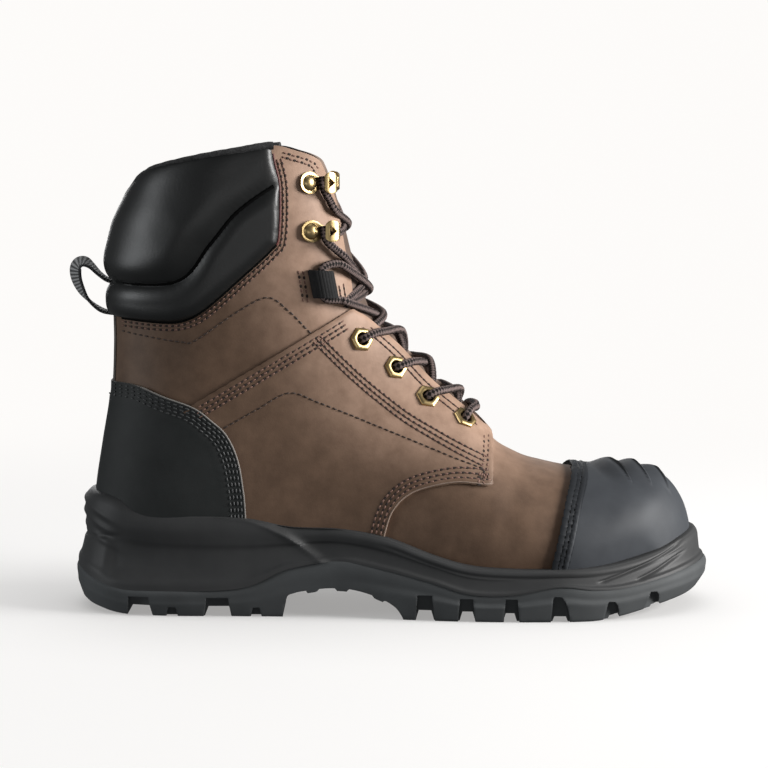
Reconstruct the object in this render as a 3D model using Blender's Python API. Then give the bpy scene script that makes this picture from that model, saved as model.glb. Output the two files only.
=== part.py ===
"""Safety boot for the right foot, eight inch work boot with a moulded toe cap and a padded collar.

Frame: +X to the toe, -Y to the outer side, +Z up. The tread stands on z = 0.
Sizes in the tables are millimetres, and meshes are made in metres.
"""

import math

import bmesh
import bpy
import numpy as np
from mathutils import Matrix, Vector

# Driving dimensions, millimetres
MM = 0.001
GAP = 0.3
WALL = 2.2
QUARTER_THICK = 1.5
COUNTER_THICK = 1.9
TONGUE_THICK = 4.5
INSOLE_THICK = 4.0
INSOLE_INSET = 3.2
HALF_COLUMNS = 8
SOLE_STATIONS = 27
LUG_DEPTH = 5.5
LUG_TAPER = 1.6
FAR = 160.0

# Sections of the last, from above the collar down the shaft, round the heel and along the foot to the toe.
# Each lies in a plane through its top point and its end point (back of the leg, then underside of the foot).
# widest: share of the way from top to end. swing: shift to the inner side. sweep: how far its sides trail.
# square: how flat the top is, from 2 for round.
SECTION_COLUMNS = ("top_x", "top_z", "end_x", "end_z", "widest", "half", "swing", "end_half", "sweep", "square")
SECTIONS = (
    (-21.0, 240.0, -111.0, 230.0, 0.50, 40.5, 0.0, 6.0, 0.0, 2.7),
    (-27.3, 214.0, -123.0, 203.0, 0.50, 40.5, 0.0, 6.0, 0.0, 2.7),
    (-20.6, 186.0, -130.5, 178.0, 0.50, 39.6, 0.0, 6.0, 0.0, 2.7),
    (-15.6, 160.0, -132.6, 152.0, 0.50, 38.6, 0.0, 6.0, 0.0, 2.7),
    (-11.3, 147.6, -132.6, 128.0, 0.52, 38.0, 0.0, 6.0, 0.0, 2.7),
    (-6.4, 140.6, -133.8, 104.0, 0.56, 37.6, 0.0, 6.5, 0.0, 2.7),
    (-0.6, 135.0, -137.7, 80.0, 0.61, 37.2, 0.0, 7.0, 0.0, 2.7),
    (5.4, 129.2, -141.0, 57.0, 0.66, 37.0, 0.0, 8.0, 0.0, 2.7),
    (11.2, 123.2, -140.5, 38.5, 0.70, 37.0, 0.0, 11.0, 0.0, 2.7),
    (16.8, 117.2, -133.0, 28.0, 0.72, 37.2, 0.0, 17.0, 0.0, 2.65),
    (22.8, 111.0, -106.0, 26.5, 0.72, 37.6, -0.2, 27.0, 0.0, 2.6),
    (29.4, 105.0, -73.0, 26.0, 0.71, 38.6, -0.6, 30.0, 0.0, 2.5),
    (36.4, 98.8, -39.0, 24.5, 0.70, 40.6, -1.2, 32.0, 0.0, 2.4),
    (43.6, 91.0, -5.0, 21.5, 0.70, 44.4, -1.6, 36.0, 0.0, 2.3),
    (51.4, 80.6, 27.0, 18.9, 0.71, 49.0, -1.6, 41.5, 0.0, 2.15),
    (61.0, 74.8, 51.0, 17.5, 0.72, 51.8, -1.0, 45.0, 0.0, 2.05),
    (76.0, 69.6, 71.0, 17.0, 0.72, 52.6, 0.0, 46.0, 0.0, 2.05),
    (92.0, 66.4, 88.0, 17.3, 0.70, 51.4, 1.0, 45.0, 1.0, 2.05),
    (107.5, 65.2, 101.0, 18.0, 0.66, 48.8, 2.0, 42.5, 3.5, 2.05),
    (121.5, 64.4, 112.0, 18.8, 0.62, 45.6, 2.6, 39.5, 7.0, 2.05),
    (134.0, 60.0, 122.5, 19.8, 0.58, 41.8, 3.0, 36.5, 10.5, 2.05),
    (141.8, 50.0, 131.0, 20.8, 0.55, 38.0, 3.2, 33.5, 13.0, 2.05),
    (145.6, 37.2, 137.5, 21.6, 0.50, 34.4, 3.4, 31.0, 13.5, 2.05),
    (146.4, 24.5, 142.0, 22.3, 0.50, 30.5, 3.5, 28.5, 12.0, 2.05),
)
END_ROUND = 2.05
SECTION_STEPS = (1, 2, 2, 2) + (1,) * (len(SECTIONS) - 5)
HEEL_SECTION = 9
THROAT_SECTION = 15

# Plan of the sole at its widest, half widths from the middle line: a row for each station
SOLE_COLUMNS = ("x", "outer", "inner")
SOLE_PLAN = (
    (-153.5, 0.0, 0.0),
    (-151.0, 15.0, 15.0),
    (-144.0, 28.5, 28.5),
    (-130.0, 38.0, 38.0),
    (-105.0, 43.5, 43.0),
    (-72.0, 44.5, 43.5),
    (-38.0, 46.5, 44.0),
    (-4.0, 51.0, 47.0),
    (30.0, 56.5, 51.5),
    (60.0, 58.3, 55.5),
    (88.0, 58.3, 58.3),
    (110.0, 53.0, 56.5),
    (130.0, 43.0, 48.0),
    (145.0, 29.5, 36.0),
    (153.5, 13.0, 20.0),
    (156.5, -3.0, 3.0),
)

# Heights along the sole: under the tread, at the line between outsole and midsole, and at the midsole's rim
HEIGHT_COLUMNS = ("x", "tread", "parting", "rim")
SOLE_HEIGHTS = (
    (-154.0, 0.0, 11.5, 57.5),
    (-132.0, 0.0, 12.0, 55.5),
    (-118.0, 0.0, 12.0, 50.0),
    (-72.0, 0.0, 13.5, 48.0),
    (-48.0, 0.0, 21.0, 43.5),
    (-24.0, 0.0, 25.3, 42.6),
    (-3.0, 0.0, 20.5, 39.2),
    (22.0, 0.0, 13.6, 30.6),
    (40.0, 0.0, 11.4, 26.0),
    (60.0, 0.0, 11.6, 25.0),
    (80.0, 0.0, 14.0, 24.8),
    (95.0, 0.0, 12.6, 25.3),
    (110.0, 1.8, 13.0, 27.0),
    (130.0, 5.2, 17.5, 30.6),
    (147.0, 7.8, 22.0, 35.6),
    (157.0, 9.0, 23.5, 38.2),
)

# Side of the midsole, from the parting line (0) to the rim (1): how far it stands out of the plan
LEVEL_COLUMNS = ("share", "heel", "waist", "ball", "toe")
LEVEL_PLACES = (-140.0, -30.0, 60.0, 145.0)
MIDSOLE_LEVELS = (
    (0.00, -0.6, -0.8, -0.6, -1.6),
    (0.14, -1.0, -1.4, -0.8, -2.0),
    (0.20, -2.6, -2.8, -2.2, -3.6),
    (0.50, -5.0, -3.4, -2.4, -4.4),
    (0.62, -4.7, -1.6, -1.6, -4.0),
    (0.80, -4.4, -1.0, -1.4, -4.4),
    (0.92, -5.4, -1.8, -2.4, -5.6),
    (1.00, -8.6, -3.6, -4.6, -7.6),
    (1.02, -16.0, -14.0, -15.0, -16.0),
)
OUTSOLE_LEVELS = (
    (0.00, -3.0, -3.0, -2.6, -4.6),
    (0.45, -0.6, -0.8, -0.4, -0.8),
    (0.80, 0.0, 0.0, 0.0, 0.0),
    (1.00, -0.4, -0.6, -0.4, -1.2),
)
DECK_INSET = 7.0
DECK_DROP = 3.0

# Gaps between the lugs where they open at the floor, heel first, and the hollow of the arch
LUG_GAPS = (
    (-125.7, -113.2),
    (-88.4, -75.0),
    (12.4, 21.5),
    (33.0, 41.0),
    (53.5, 60.7),
    (76.4, 85.0),
    (102.7, 109.9),
    (123.3, 130.4),
)
ARCH_LINE = ((-51.0, -1.0), (-48.0, 7.9), (-41.8, 11.4), (-28.0, 12.6), (-11.2, 10.5), (2.5, 6.2), (7.0, -1.0))
CHANNEL_HALF = 6.0
CHANNEL_DEPTH = 4.5
CHANNEL_ENDS = (-128.0, 122.0)

# Side view of the openings: the top line, and the edges of the facings with the notch between them
TOP_LINE = ((-131.0, 201.0), (-126.5, 205.4), (-117.0, 210.3), (-107.5, 213.9), (-90.7, 217.6), (-71.5, 221.2),
            (-54.7, 223.8), (-43.4, 221.3), (-34.6, 218.6), (-30.2, 213.2))
FACING_LINE = ((-30.2, 213.2), (-25.8, 198.6), (-21.5, 176.7), (-17.6, 154.7), (-18.6, 146.0), (-12.5, 141.5),
               (-6.8, 136.7), (5.4, 125.5), (19.5, 110.4), (36.1, 96.7), (47.5, 86.0), (53.0, 80.4))

# Side view edges of the overlays
COUNTER_EDGE = ((-170.0, 110.6), (-136.0, 110.3), (-121.4, 109.8), (-106.9, 104.5), (-93.0, 99.7), (-84.5, 93.4),
                (-77.6, 86.7), (-72.5, 75.6), (-69.8, 61.6), (-68.6, 49.6), (-68.2, 32.0))
QUARTER_TOP = ((-125.0, 81.7), (-90.8, 102.0), (-57.2, 122.0), (-24.2, 141.6), (-10.0, 150.0))
QUARTER_FRONT = ((49.3, 90.0), (49.1, 84.0), (48.3, 65.2), (46.8, 63.0), (32.0, 64.5), (16.7, 61.8), (7.6, 57.5),
                 (1.4, 50.4), (-1.9, 40.6), (-3.4, 32.0))
CAP_EDGE = ((94.0, 84.0), (90.2, 67.6), (85.0, 54.9), (81.0, 40.4), (77.4, 25.6), (75.0, 10.0))
COLLAR_EDGE = ((-170.0, 141.6), (-135.2, 142.0), (-110.0, 140.6), (-98.6, 141.2), (-88.0, 146.4), (-70.0, 162.0),
               (-56.0, 175.0), (-52.8, 181.0), (-52.3, 203.8), (-55.0, 218.0), (-57.0, 235.0))
COLLAR_GROOVE = ((-140.0, 159.0), (-101.0, 159.5), (-84.4, 177.4), (-72.0, 192.3), (-54.7, 204.8), (-50.0, 206.5))
PAD_EDGE = 1.6
PAD_GROOVE = 2.8
PAD_TOP = 2.4
UPPER_SWELL = 2.7
LOWER_SWELL = 1.6
ROLL_LEAN = 0.6
COLLAR_FRONT = -52.0
COLLAR_TAPER = 16.0
CAP_THICK = 2.3
CAP_RIDGES = (106.5, 117.0, 127.2)
CAP_RIDGE_HALF = 24.0
CAP_RIDGE_RADIUS = 3.6
STRAP_THICK = 1.0

# Webbing loop at the back: its path in side view, and how far it is twisted, in degrees
LOOP_WIDTH = 15.0
LOOP_THICK = 1.6
LOOP_COLUMNS = ("x", "z", "twist")
LOOP_PATH = (
    (-138.0, 158.6, 0.0),
    (-140.8, 162.8, 8.0),
    (-144.0, 166.4, 18.0),
    (-147.0, 168.0, 26.0),
    (-149.8, 166.2, 30.0),
    (-150.7, 162.0, 28.0),
    (-148.6, 155.8, 22.0),
    (-143.2, 147.8, 8.0),
    (-139.8, 143.6, 0.0),
    (-137.2, 142.2, 0.0),
)

# Brass hardware and lace, placed in side view on the outer side and repeated on the inner side
EYELETS = ((-14.0, 131.2), (2.4, 117.2), (17.9, 102.7), (35.7, 92.1))
EYELET_ACROSS = 10.8
EYELET_BORE = 2.8
EYELET_BARREL = 3.3
EYELET_HOLE = 3.95
EYELET_FLANGE = 1.0
EYELET_CLEAR = 1.1
RING_SIDES = 12
HOLE_SIDES = 8
HOOKS = ((-38.0, 206.1), (-36.8, 183.3))
HOOK_COLUMNS = ("forward", "out", "half")
HOOK_PATH = ((-4.6, 1.4, 3.6), (-2.6, 1.4, 4.8), (2.6, 1.4, 4.8), (5.0, 1.4, 3.8), (8.5, 1.8, 3.0), (11.0, 3.6, 2.8),
             (11.6, 6.0, 2.8), (9.6, 7.8, 2.2))
HOOK_THICK = 1.1
LACE_LOOP = (-31.4, 157.8)
LACE_LOOP_HALF = (6.5, 6.8)
LACE_LOOP_DEPTH = 5.6
LACE_LOOP_WALL = 1.4
LACE_RADIUS = 1.9
LACE_END = 0.61
LACE_OVER = 0.9
LACE_POINTS = 5
# Lace crossings: where a strand starts on its own side, the place across the throat that it heads for,
# and its height off the leather at its start, over the edge of the facing and in the middle
STRAND_COLUMNS = ("start", "end", "start_lift", "edge_lift", "middle_lift")
LACE_STRANDS = (
    (EYELETS[2], EYELETS[3], 7.7, 4.6, 2.0),
    (EYELETS[1], EYELETS[2], 7.7, 4.5, 1.4),
    (EYELETS[0], EYELETS[1], 7.7, 4.3, 0.4),
    ((-28.6, 147.6), EYELETS[0], 2.9, 3.9, 0.4),
    ((-28.6, 167.6), (-20.0, 150.0), 3.0, 3.1, 0.3),
    ((-27.6, 175.5), (-20.0, 160.0), 3.0, 3.1, 0.3),
    ((-28.4, 200.0), (-26.0, 176.0), 3.2, 3.3, 1.0),
)
BAR_LIFTS = (9.4, 5.0, 1.0)
LACE_PLACES = (0.0, 0.28, 0.5)


def spline(points, steps):
    """Points along a smooth curve through the given points. steps: one number, or one for each interval."""
    rows = np.asarray(points, dtype=float)
    padded = np.vstack([2 * rows[0] - rows[1], rows, 2 * rows[-1] - rows[-2]])
    counts = np.broadcast_to(steps, len(rows) - 1)
    out = []
    for i, count in enumerate(counts):
        before, start, end, after = padded[i : i + 4]
        for t in np.arange(count) / count:
            out.append(
                0.5
                * (
                    2 * start
                    + (end - before) * t
                    + (2 * before - 5 * start + 4 * end - after) * t**2
                    + (3 * start - before - 3 * end + after) * t**3
                )
            )
    out.append(rows[-1])
    return np.array(out)


def offset_line(points, distance):
    """A flat line moved sideways: to its right for a positive distance."""
    line = np.asarray(points, dtype=float)
    along = np.gradient(line, axis=0)
    along /= np.linalg.norm(along, axis=1)[:, None]
    return line + distance * np.column_stack([along[:, 1], -along[:, 0]])


# Scene, collections and materials


def collection(name):
    made = bpy.data.collections.new(name)
    bpy.context.scene.collection.children.link(made)
    return made


def material(name, color, roughness, metallic=0.0):
    made = bpy.data.materials.new(name)
    made.use_nodes = True
    shader = made.node_tree.nodes["Principled BSDF"]
    shader.inputs["Base Color"].default_value = (*color, 1.0)
    shader.inputs["Roughness"].default_value = roughness
    shader.inputs["Metallic"].default_value = metallic
    made.diffuse_color = (*color, 1.0)
    return made


def mesh_object(name, vertices, faces, place, finish=None):
    """A new object from points in millimetres, with its faces turned outwards."""
    mesh = bpy.data.meshes.new(name)
    mesh.from_pydata([tuple(float(c) * MM for c in v) for v in vertices], [], faces)
    body = bmesh.new()
    body.from_mesh(mesh)
    bmesh.ops.remove_doubles(body, verts=body.verts, dist=1e-7)
    bmesh.ops.recalc_face_normals(body, faces=body.faces)
    body.to_mesh(mesh)
    body.free()
    made = bpy.data.objects.new(name, mesh)
    place.objects.link(made)
    if finish:
        mesh.materials.append(finish)
    return made


def cutter_object(name, vertices, faces):
    made = mesh_object(name, vertices, faces, CUTTERS)
    made.hide_render = True
    made.display_type = "WIRE"
    return made


def boolean(target, other, operation):
    modifier = target.modifiers.new(other.name, "BOOLEAN")
    modifier.operation = operation
    modifier.solver = "EXACT"
    modifier.object = other


def side_prism(name, outline, y_low=-FAR, y_high=FAR):
    """A side view outline, drawn through the boot from one Y to another."""
    count = len(outline)
    vertices = [(x, y_low, z) for x, z in outline] + [(x, y_high, z) for x, z in outline]
    faces = [tuple(range(count)), tuple(range(2 * count - 1, count - 1, -1))]
    for i in range(count):
        j = (i + 1) % count
        faces.append((i, j, count + j, count + i))
    return cutter_object(name, vertices, faces)


# The last: a grid of points over the sections, and solids between two offsets of it


def last_grid():
    """Grid of points on the leather's outer face: rows are sections, columns run from the outer end of a section
    over its top to its inner end. Also the outward direction at each point."""
    table = spline(SECTIONS, SECTION_STEPS)
    part = np.linspace(0.0, 1.0, HALF_COLUMNS + 1)
    front = part <= 0.5
    turn = np.where(front, part, part - 0.5) * math.pi
    grid = []
    for row in table:
        top_x, top_z, end_x, end_z, widest, half, swing, end_half, sweep, square = row
        power = 2.0 / np.where(front, square, END_ROUND)
        sine = np.abs(np.sin(turn)) ** power
        cosine = np.abs(np.cos(turn)) ** power
        along = np.where(front, widest * (1.0 - cosine), widest + (1.0 - widest) * sine)
        out = np.where(front, half * sine, end_half + (half - end_half) * cosine)
        x = top_x + (end_x - top_x) * along - sweep * (out / half) ** 2
        z = top_z + (end_z - top_z) * along
        outer = np.column_stack([x, swing - out, z])
        inner = np.column_stack([x, swing + out, z])
        grid.append(np.vstack([outer[::-1], inner[1:]]))
    grid = np.array(grid)
    down = np.gradient(grid, axis=0)
    across = np.gradient(grid, axis=1)
    normal = np.cross(across, down)
    normal /= np.linalg.norm(normal, axis=2)[:, :, None]
    top = grid[0, HALF_COLUMNS] - grid[0, 0]
    if normal[0, HALF_COLUMNS].dot(top) < 0:
        normal = -normal
    return grid, normal


GRID, NORMAL = last_grid()
ROWS, COLUMNS = GRID.shape[:2]


def row_of(section):
    """Row of the grid at a section of the table."""
    return sum(SECTION_STEPS[:section])


HEEL_ROW = row_of(HEEL_SECTION)


def window(first_row, last_row, first_column=0, last_column=COLUMNS - 1, back=False):
    """Which cells of the grid a piece covers. back: also the strip that closes the section at its end."""
    cells = np.zeros((ROWS - 1, COLUMNS), dtype=bool)
    cells[first_row:last_row, first_column:last_column] = True
    if back:
        cells[first_row:last_row, COLUMNS - 1] = True
    return cells


def layer_solid(name, low, high, cells, place, finish=None):
    """A closed solid over some cells of the grid, from one distance off the leather to another."""
    under = GRID + NORMAL * np.asarray(low)[..., None]
    over = GRID + NORMAL * np.asarray(high)[..., None]
    vertices = np.vstack([over.reshape(-1, 3), under.reshape(-1, 3)])
    lower = ROWS * COLUMNS
    faces = []
    rim = {}
    for i, j in zip(*np.nonzero(cells)):
        right = (j + 1) % COLUMNS
        a, b = i * COLUMNS + j, i * COLUMNS + right
        d, c = (i + 1) * COLUMNS + j, (i + 1) * COLUMNS + right
        faces += [(a, b, c), (a, c, d), (lower + c, lower + b, lower + a), (lower + d, lower + c, lower + a)]
        for edge in ((a, b), (b, c), (c, d), (d, a)):
            if edge[::-1] in rim:
                del rim[edge[::-1]]
            else:
                rim[edge] = True
    for start, end in rim:
        faces += [(end, start, lower + start), (end, lower + start, lower + end)]
    used = sorted({v for face in faces for v in face})
    number = {v: n for n, v in enumerate(used)}
    faces = [tuple(number[v] for v in face) for face in faces]
    return mesh_object(name, vertices[used], faces, place, finish)


def form_solid(name, offset):
    """The last as one closed solid, grown by an offset also under the foot: it cuts the sole's cavity."""
    points = GRID + NORMAL * offset
    points[-1, 1:-1, 2] -= offset
    points[HEEL_ROW:, (0, -1), 2] -= offset
    points = points.reshape(-1, 3)
    faces = []
    for i in range(ROWS - 1):
        for j in range(COLUMNS):
            right = (j + 1) % COLUMNS
            a, b = i * COLUMNS + j, i * COLUMNS + right
            d, c = (i + 1) * COLUMNS + j, (i + 1) * COLUMNS + right
            faces += [(a, b, c), (a, c, d)]
    for start in (0, (ROWS - 1) * COLUMNS):
        for j in range(HALF_COLUMNS):
            left, right = start + j, start + COLUMNS - 1 - j
            faces.append((left, left + 1, right - 1, right) if j < HALF_COLUMNS - 1 else (left, left + 1, right))
    made = mesh_object(name, points, faces, CUTTERS)
    made.hide_render = True
    made.display_type = "WIRE"
    return made


# The sole: closed rings round its plan, stacked from the floor up


def sole_ring(outsets, heights, raise_by=0.0):
    """A ring round the plan of the sole: outer side from heel to toe, then the inner side back."""
    plan = spline(SOLE_PLAN, 3)
    stations = np.linspace(0, len(plan) - 1, SOLE_STATIONS)
    plan = np.column_stack([np.interp(stations, np.arange(len(plan)), plan[:, k]) for k in range(3)])
    loop = np.vstack(
        [
            np.column_stack([plan[:, 0], -plan[:, 1]]),
            np.column_stack([plan[-2:0:-1, 0], plan[-2:0:-1, 2]]),
        ]
    )
    along = np.roll(loop, -1, axis=0) - np.roll(loop, 1, axis=0)
    along /= np.linalg.norm(along, axis=1)[:, None]
    outward = np.column_stack([along[:, 1], -along[:, 0]])
    out = np.interp(loop[:, 0], LEVEL_PLACES, outsets)
    moved = loop + outward * out[:, None]
    z = heights(loop[:, 0]) + raise_by
    return np.column_stack([moved, z])


def height(column):
    table = np.array(SOLE_HEIGHTS)
    place = HEIGHT_COLUMNS.index(column)
    return lambda x: np.interp(x, table[:, 0], table[:, place])


def between_heights(low, high, share):
    return lambda x: height(low)(x) * (1.0 - share) + height(high)(x) * share


def stack_solid(name, rings, place, finish=None):
    """A closed solid through rings of equal length, capped with strips from side to side."""
    count = len(rings[0])
    vertices = np.vstack(rings)
    faces = []
    for level in range(len(rings) - 1):
        for i in range(count):
            j = (i + 1) % count
            a, b = level * count + i, level * count + j
            faces += [(a, b, b + count), (a, b + count, a + count)]
    for start in (0, (len(rings) - 1) * count):
        for i in range(count // 2):
            outer, inner = start + i, start + (count - i) % count
            next_outer, next_inner = start + i + 1, start + count - i - 1
            corners = [outer, next_outer, next_inner, inner]
            faces.append(tuple(dict.fromkeys(corners)))
    return mesh_object(name, vertices, faces, place, finish)


def midsole_rings(grow):
    """Rings of the midsole's outside. grow: clearance for pieces that stop at its rim."""
    deck = [-DECK_INSET] * len(LEVEL_PLACES)
    rings = [sole_ring(deck, height("parting"), GAP - DECK_DROP - grow)]
    for row in MIDSOLE_LEVELS:
        outsets = [out + grow for out in row[1:]]
        rings.append(sole_ring(outsets, between_heights("parting", "rim", row[0]), GAP if row[0] == 0 else grow))
    return rings


def build_midsole():
    made = stack_solid("midsole", midsole_rings(0.0), PARTS, RUBBER)
    boolean(made, form_solid("midsole_cavity", GAP), "DIFFERENCE")


def build_outsole():
    rings = [
        sole_ring(row[1:], between_heights("tread", "parting", row[0]))
        for row in OUTSOLE_LEVELS
    ]
    rings.append(sole_ring([-DECK_INSET] * len(LEVEL_PLACES), height("parting"), -DECK_DROP))
    made = stack_solid("outsole", rings, PARTS, RUBBER)
    tread = height("tread")
    for number, (start, end) in enumerate(LUG_GAPS):
        root = float(tread(0.5 * (start + end))) + LUG_DEPTH
        outline = ((start, -1.0), (end, -1.0), (end - LUG_TAPER, root), (start + LUG_TAPER, root))
        boolean(made, side_prism(f"lug_gap_{number + 1}", outline), "DIFFERENCE")
    boolean(made, side_prism("arch_hollow", ARCH_LINE), "DIFFERENCE")
    start, end = CHANNEL_ENDS
    outline = ((start, -1.0), (end, -1.0), (end, CHANNEL_DEPTH), (start, CHANNEL_DEPTH))
    boolean(made, side_prism("centre_channel", outline, -CHANNEL_HALF, CHANNEL_HALF), "DIFFERENCE")


def build_upper():
    """The leather wall: one layer over the last, cut open at the top line, the throat and the eyelets."""
    cells = window(0, ROWS - 1)
    cells[:HEEL_ROW, COLUMNS - 1] = True
    made = layer_solid("upper", same(-WALL), same(0.0), cells, PARTS, LEATHER)
    above = side_prism("above_top_line", [(-FAR, 195.0), *TOP_LINE, (0.0, 213.2), (0.0, 260.0), (-FAR, 260.0)])
    throat = side_prism("throat", [*FACING_LINE, (60.0, 84.0), (60.0, 240.0), (-30.2, 240.0)])
    boolean(made, above, "DIFFERENCE")
    boolean(made, throat, "DIFFERENCE")
    for holes in EYELET_HOLES.values():
        boolean(made, holes, "DIFFERENCE")
    return above, throat


def build_tongue():
    middle = HALF_COLUMNS
    cells = window(row_of(1), row_of(THROAT_SECTION), middle - 2, middle + 2)
    layer_solid("tongue", same(-WALL - GAP - TONGUE_THICK), same(-WALL - GAP), cells, PARTS, CLOTH)


def insole_ring(raise_by):
    """Ring just inside the leather's lower edge, from the middle of the heel round the toe and back."""
    outer = [GRID[i, 0] for i in range(HEEL_ROW, ROWS - 1)] + [GRID[-1, j] for j in range(HALF_COLUMNS)]
    inner = [GRID[i, -1] for i in range(HEEL_ROW, ROWS - 1)] + [GRID[-1, -1 - j] for j in range(HALF_COLUMNS)]
    heel = GRID[HEEL_ROW, 0] * (1.0, 0.0, 1.0)
    ring = np.array([heel, *outer, GRID[-1, HALF_COLUMNS], *inner[::-1]])
    middle = np.array([(ring[:, 0].min() + ring[:, 0].max()) / 2, 0.0])
    reach = np.array([(ring[:, 0].max() - ring[:, 0].min()) / 2, np.abs(ring[:, 1]).max()])
    ring[:, :2] = middle + (ring[:, :2] - middle) * (1.0 - INSOLE_INSET / reach)
    ring[:, 2] += 2 * GAP + raise_by
    return ring


def build_insole():
    stack_solid("insole", [insole_ring(0.0), insole_ring(INSOLE_THICK)], PARTS, CLOTH)


# Overlays: cut between two larger forms of the last, and stopped at the midsole's rim


def same(value):
    return np.full(GRID.shape[:2], float(value))


def overlay(name, thick, cells, finish, keep, remove=()):
    """A layer that lies on the leather inside one side view outline, with other outlines taken away."""
    made = layer_solid(name, same(GAP), same(GAP + thick), cells, PARTS, finish)
    boolean(made, keep, "INTERSECT")
    for cutter in remove:
        boolean(made, cutter, "DIFFERENCE")
    return made


def build_counter_and_quarters(clearance, throat):
    counter_edge = spline(COUNTER_EDGE, 3)
    corner = (-170.0, 32.0)
    counter_keep = side_prism("counter_keep", [*offset_line(counter_edge, GAP), corner])
    counter_room = side_prism("counter_room", [*counter_edge, corner])
    cells = window(row_of(4), row_of(12), back=True)
    cells[:, HALF_COLUMNS - 2 : HALF_COLUMNS + 2] = False
    overlay("heel_counter", COUNTER_THICK, cells, COUNTER, counter_keep, [clearance])
    front = spline(QUARTER_FRONT[2:], 3)
    outline = [*QUARTER_TOP, (49.3, 150.0), *QUARTER_FRONT[:2], *front, (-125.0, 32.0)]
    quarter_keep = side_prism("quarter_keep", outline)
    for side, columns in (("outer", (0, HALF_COLUMNS)), ("inner", (HALF_COLUMNS, COLUMNS - 1))):
        cells = window(row_of(3), row_of(16), *columns)
        made = overlay(f"quarter_{side}", QUARTER_THICK, cells, LEATHER, quarter_keep,
                       [counter_room, throat, clearance])
        boolean(made, EYELET_HOLES[side], "DIFFERENCE")


def build_toe_cap(clearance):
    keep = side_prism("cap_keep", [*spline(CAP_EDGE, 3), (180.0, 10.0), (180.0, 84.0)])
    made = layer_solid("toe_cap", same(GAP), same(GAP + CAP_THICK), window(row_of(16), ROWS - 1), PARTS, CAP)
    for number, x in enumerate(CAP_RIDGES):
        row = float(np.interp(x, GRID[row_of(15) :, HALF_COLUMNS, 0], np.arange(row_of(15), ROWS)))
        reach = np.linspace(-1.0, 1.0, 4)
        spread = CAP_RIDGE_HALF / 52.0 * HALF_COLUMNS / 2
        path = [on_last(row, HALF_COLUMNS + spread * r, CAP_THICK - 0.8 - 3.0 * r**2)[0] for r in reach]
        ridge = tube(f"cap_ridge_{number + 1}", path, CAP_RIDGE_RADIUS, CUTTERS)
        ridge.hide_render = True
        ridge.display_type = "WIRE"
        boolean(made, ridge, "UNION")
    boolean(made, form_solid("cap_inside", GAP), "DIFFERENCE")
    boolean(made, keep, "INTERSECT")
    boolean(made, clearance, "DIFFERENCE")


def collar_pad():
    """Thickness of the padding at each grid point: two rolls with a groove between them, thin at the front."""
    x, z = GRID[:, :, 0], GRID[:, :, 2]
    edge, groove, top = (np.array(line) for line in (COLLAR_EDGE[:-3], COLLAR_GROOVE, TOP_LINE))
    low = np.interp(x, edge[:, 0], edge[:, 1])
    middle = np.interp(x, groove[:, 0], groove[:, 1])
    high = np.interp(x, top[:, 0], top[:, 1])
    upper = np.clip((z - middle) / np.maximum(high - middle, 1.0), 0.0, 1.0)
    lower = np.clip((z - low) / np.maximum(middle - low, 1.0), 0.0, 1.0)
    pad = np.where(
        z > middle,
        PAD_GROOVE + (PAD_TOP - PAD_GROOVE) * upper + UPPER_SWELL * np.sin(math.pi * upper**ROLL_LEAN),
        PAD_EDGE + (PAD_GROOVE - PAD_EDGE) * lower + LOWER_SWELL * np.sin(math.pi * lower),
    )
    taper = np.clip((COLLAR_FRONT - x) / COLLAR_TAPER, 0.0, 1.0)
    return 1.0 + (pad - 1.0) * np.sqrt(taper)


def build_collar(above):
    edge = spline(COLLAR_EDGE, 3)
    keep = side_prism("collar_keep", [*offset_line(edge, -GAP), (-170.0, 235.0)])
    cells = window(0, row_of(4) + 1, back=True)
    cells[:, HALF_COLUMNS - 2 : HALF_COLUMNS + 2] = False
    made = layer_solid("collar", same(GAP), GAP + collar_pad(), cells, PARTS, PADDING)
    boolean(made, keep, "INTERSECT")
    boolean(made, above, "DIFFERENCE")


def build_back_strap():
    low, high = COUNTER_EDGE[1][1] + GAP, COLLAR_EDGE[1][1] - 2 * GAP
    keep = side_prism("strap_keep", [(-170.0, low), (-100.0, low), (-100.0, high), (-170.0, high)])
    cells = window(row_of(3), row_of(6), 0, 0, back=True)
    cells[row_of(3) : row_of(6), (0, COLUMNS - 2)] = True
    overlay("back_strap", STRAP_THICK, cells, WEBBING, keep)


# Webbing, brass and lace


def on_last(row, column, lift):
    """Point at a distance off the leather, and the outward direction, at a fractional row and column."""
    i, j = min(int(row), ROWS - 2), min(int(column), COLUMNS - 2)
    u, v = row - i, column - j
    weights = ((1 - u) * (1 - v), (1 - u) * v, u * (1 - v), u * v)
    cells = ((i, j), (i, j + 1), (i + 1, j), (i + 1, j + 1))
    point = sum(w * GRID[c] for w, c in zip(weights, cells))
    normal = sum(w * NORMAL[c] for w, c in zip(weights, cells))
    normal = normal / np.linalg.norm(normal)
    return point + normal * lift, normal


def spot(place):
    """Fractional row and column of a side view place on the outer side."""
    fine = 16
    rows = np.arange((row_of(16)) * fine + 1) / fine
    columns = np.arange(HALF_COLUMNS * fine + 1) / fine
    best = None
    table = np.array([[GRID[int(i), j, (0, 2)] for j in range(COLUMNS)] for i in range(ROWS)])
    for row in rows:
        i = min(int(row), ROWS - 2)
        line = table[i] * (1 - row + i) + table[i + 1] * (row - i)
        x = np.interp(columns, np.arange(COLUMNS), line[:, 0])
        z = np.interp(columns, np.arange(COLUMNS), line[:, 1])
        miss = (x - place[0]) ** 2 + (z - place[1]) ** 2
        k = int(np.argmin(miss))
        if best is None or miss[k] < best[0]:
            best = (miss[k], row, columns[k])
    return best[1], best[2]


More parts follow.
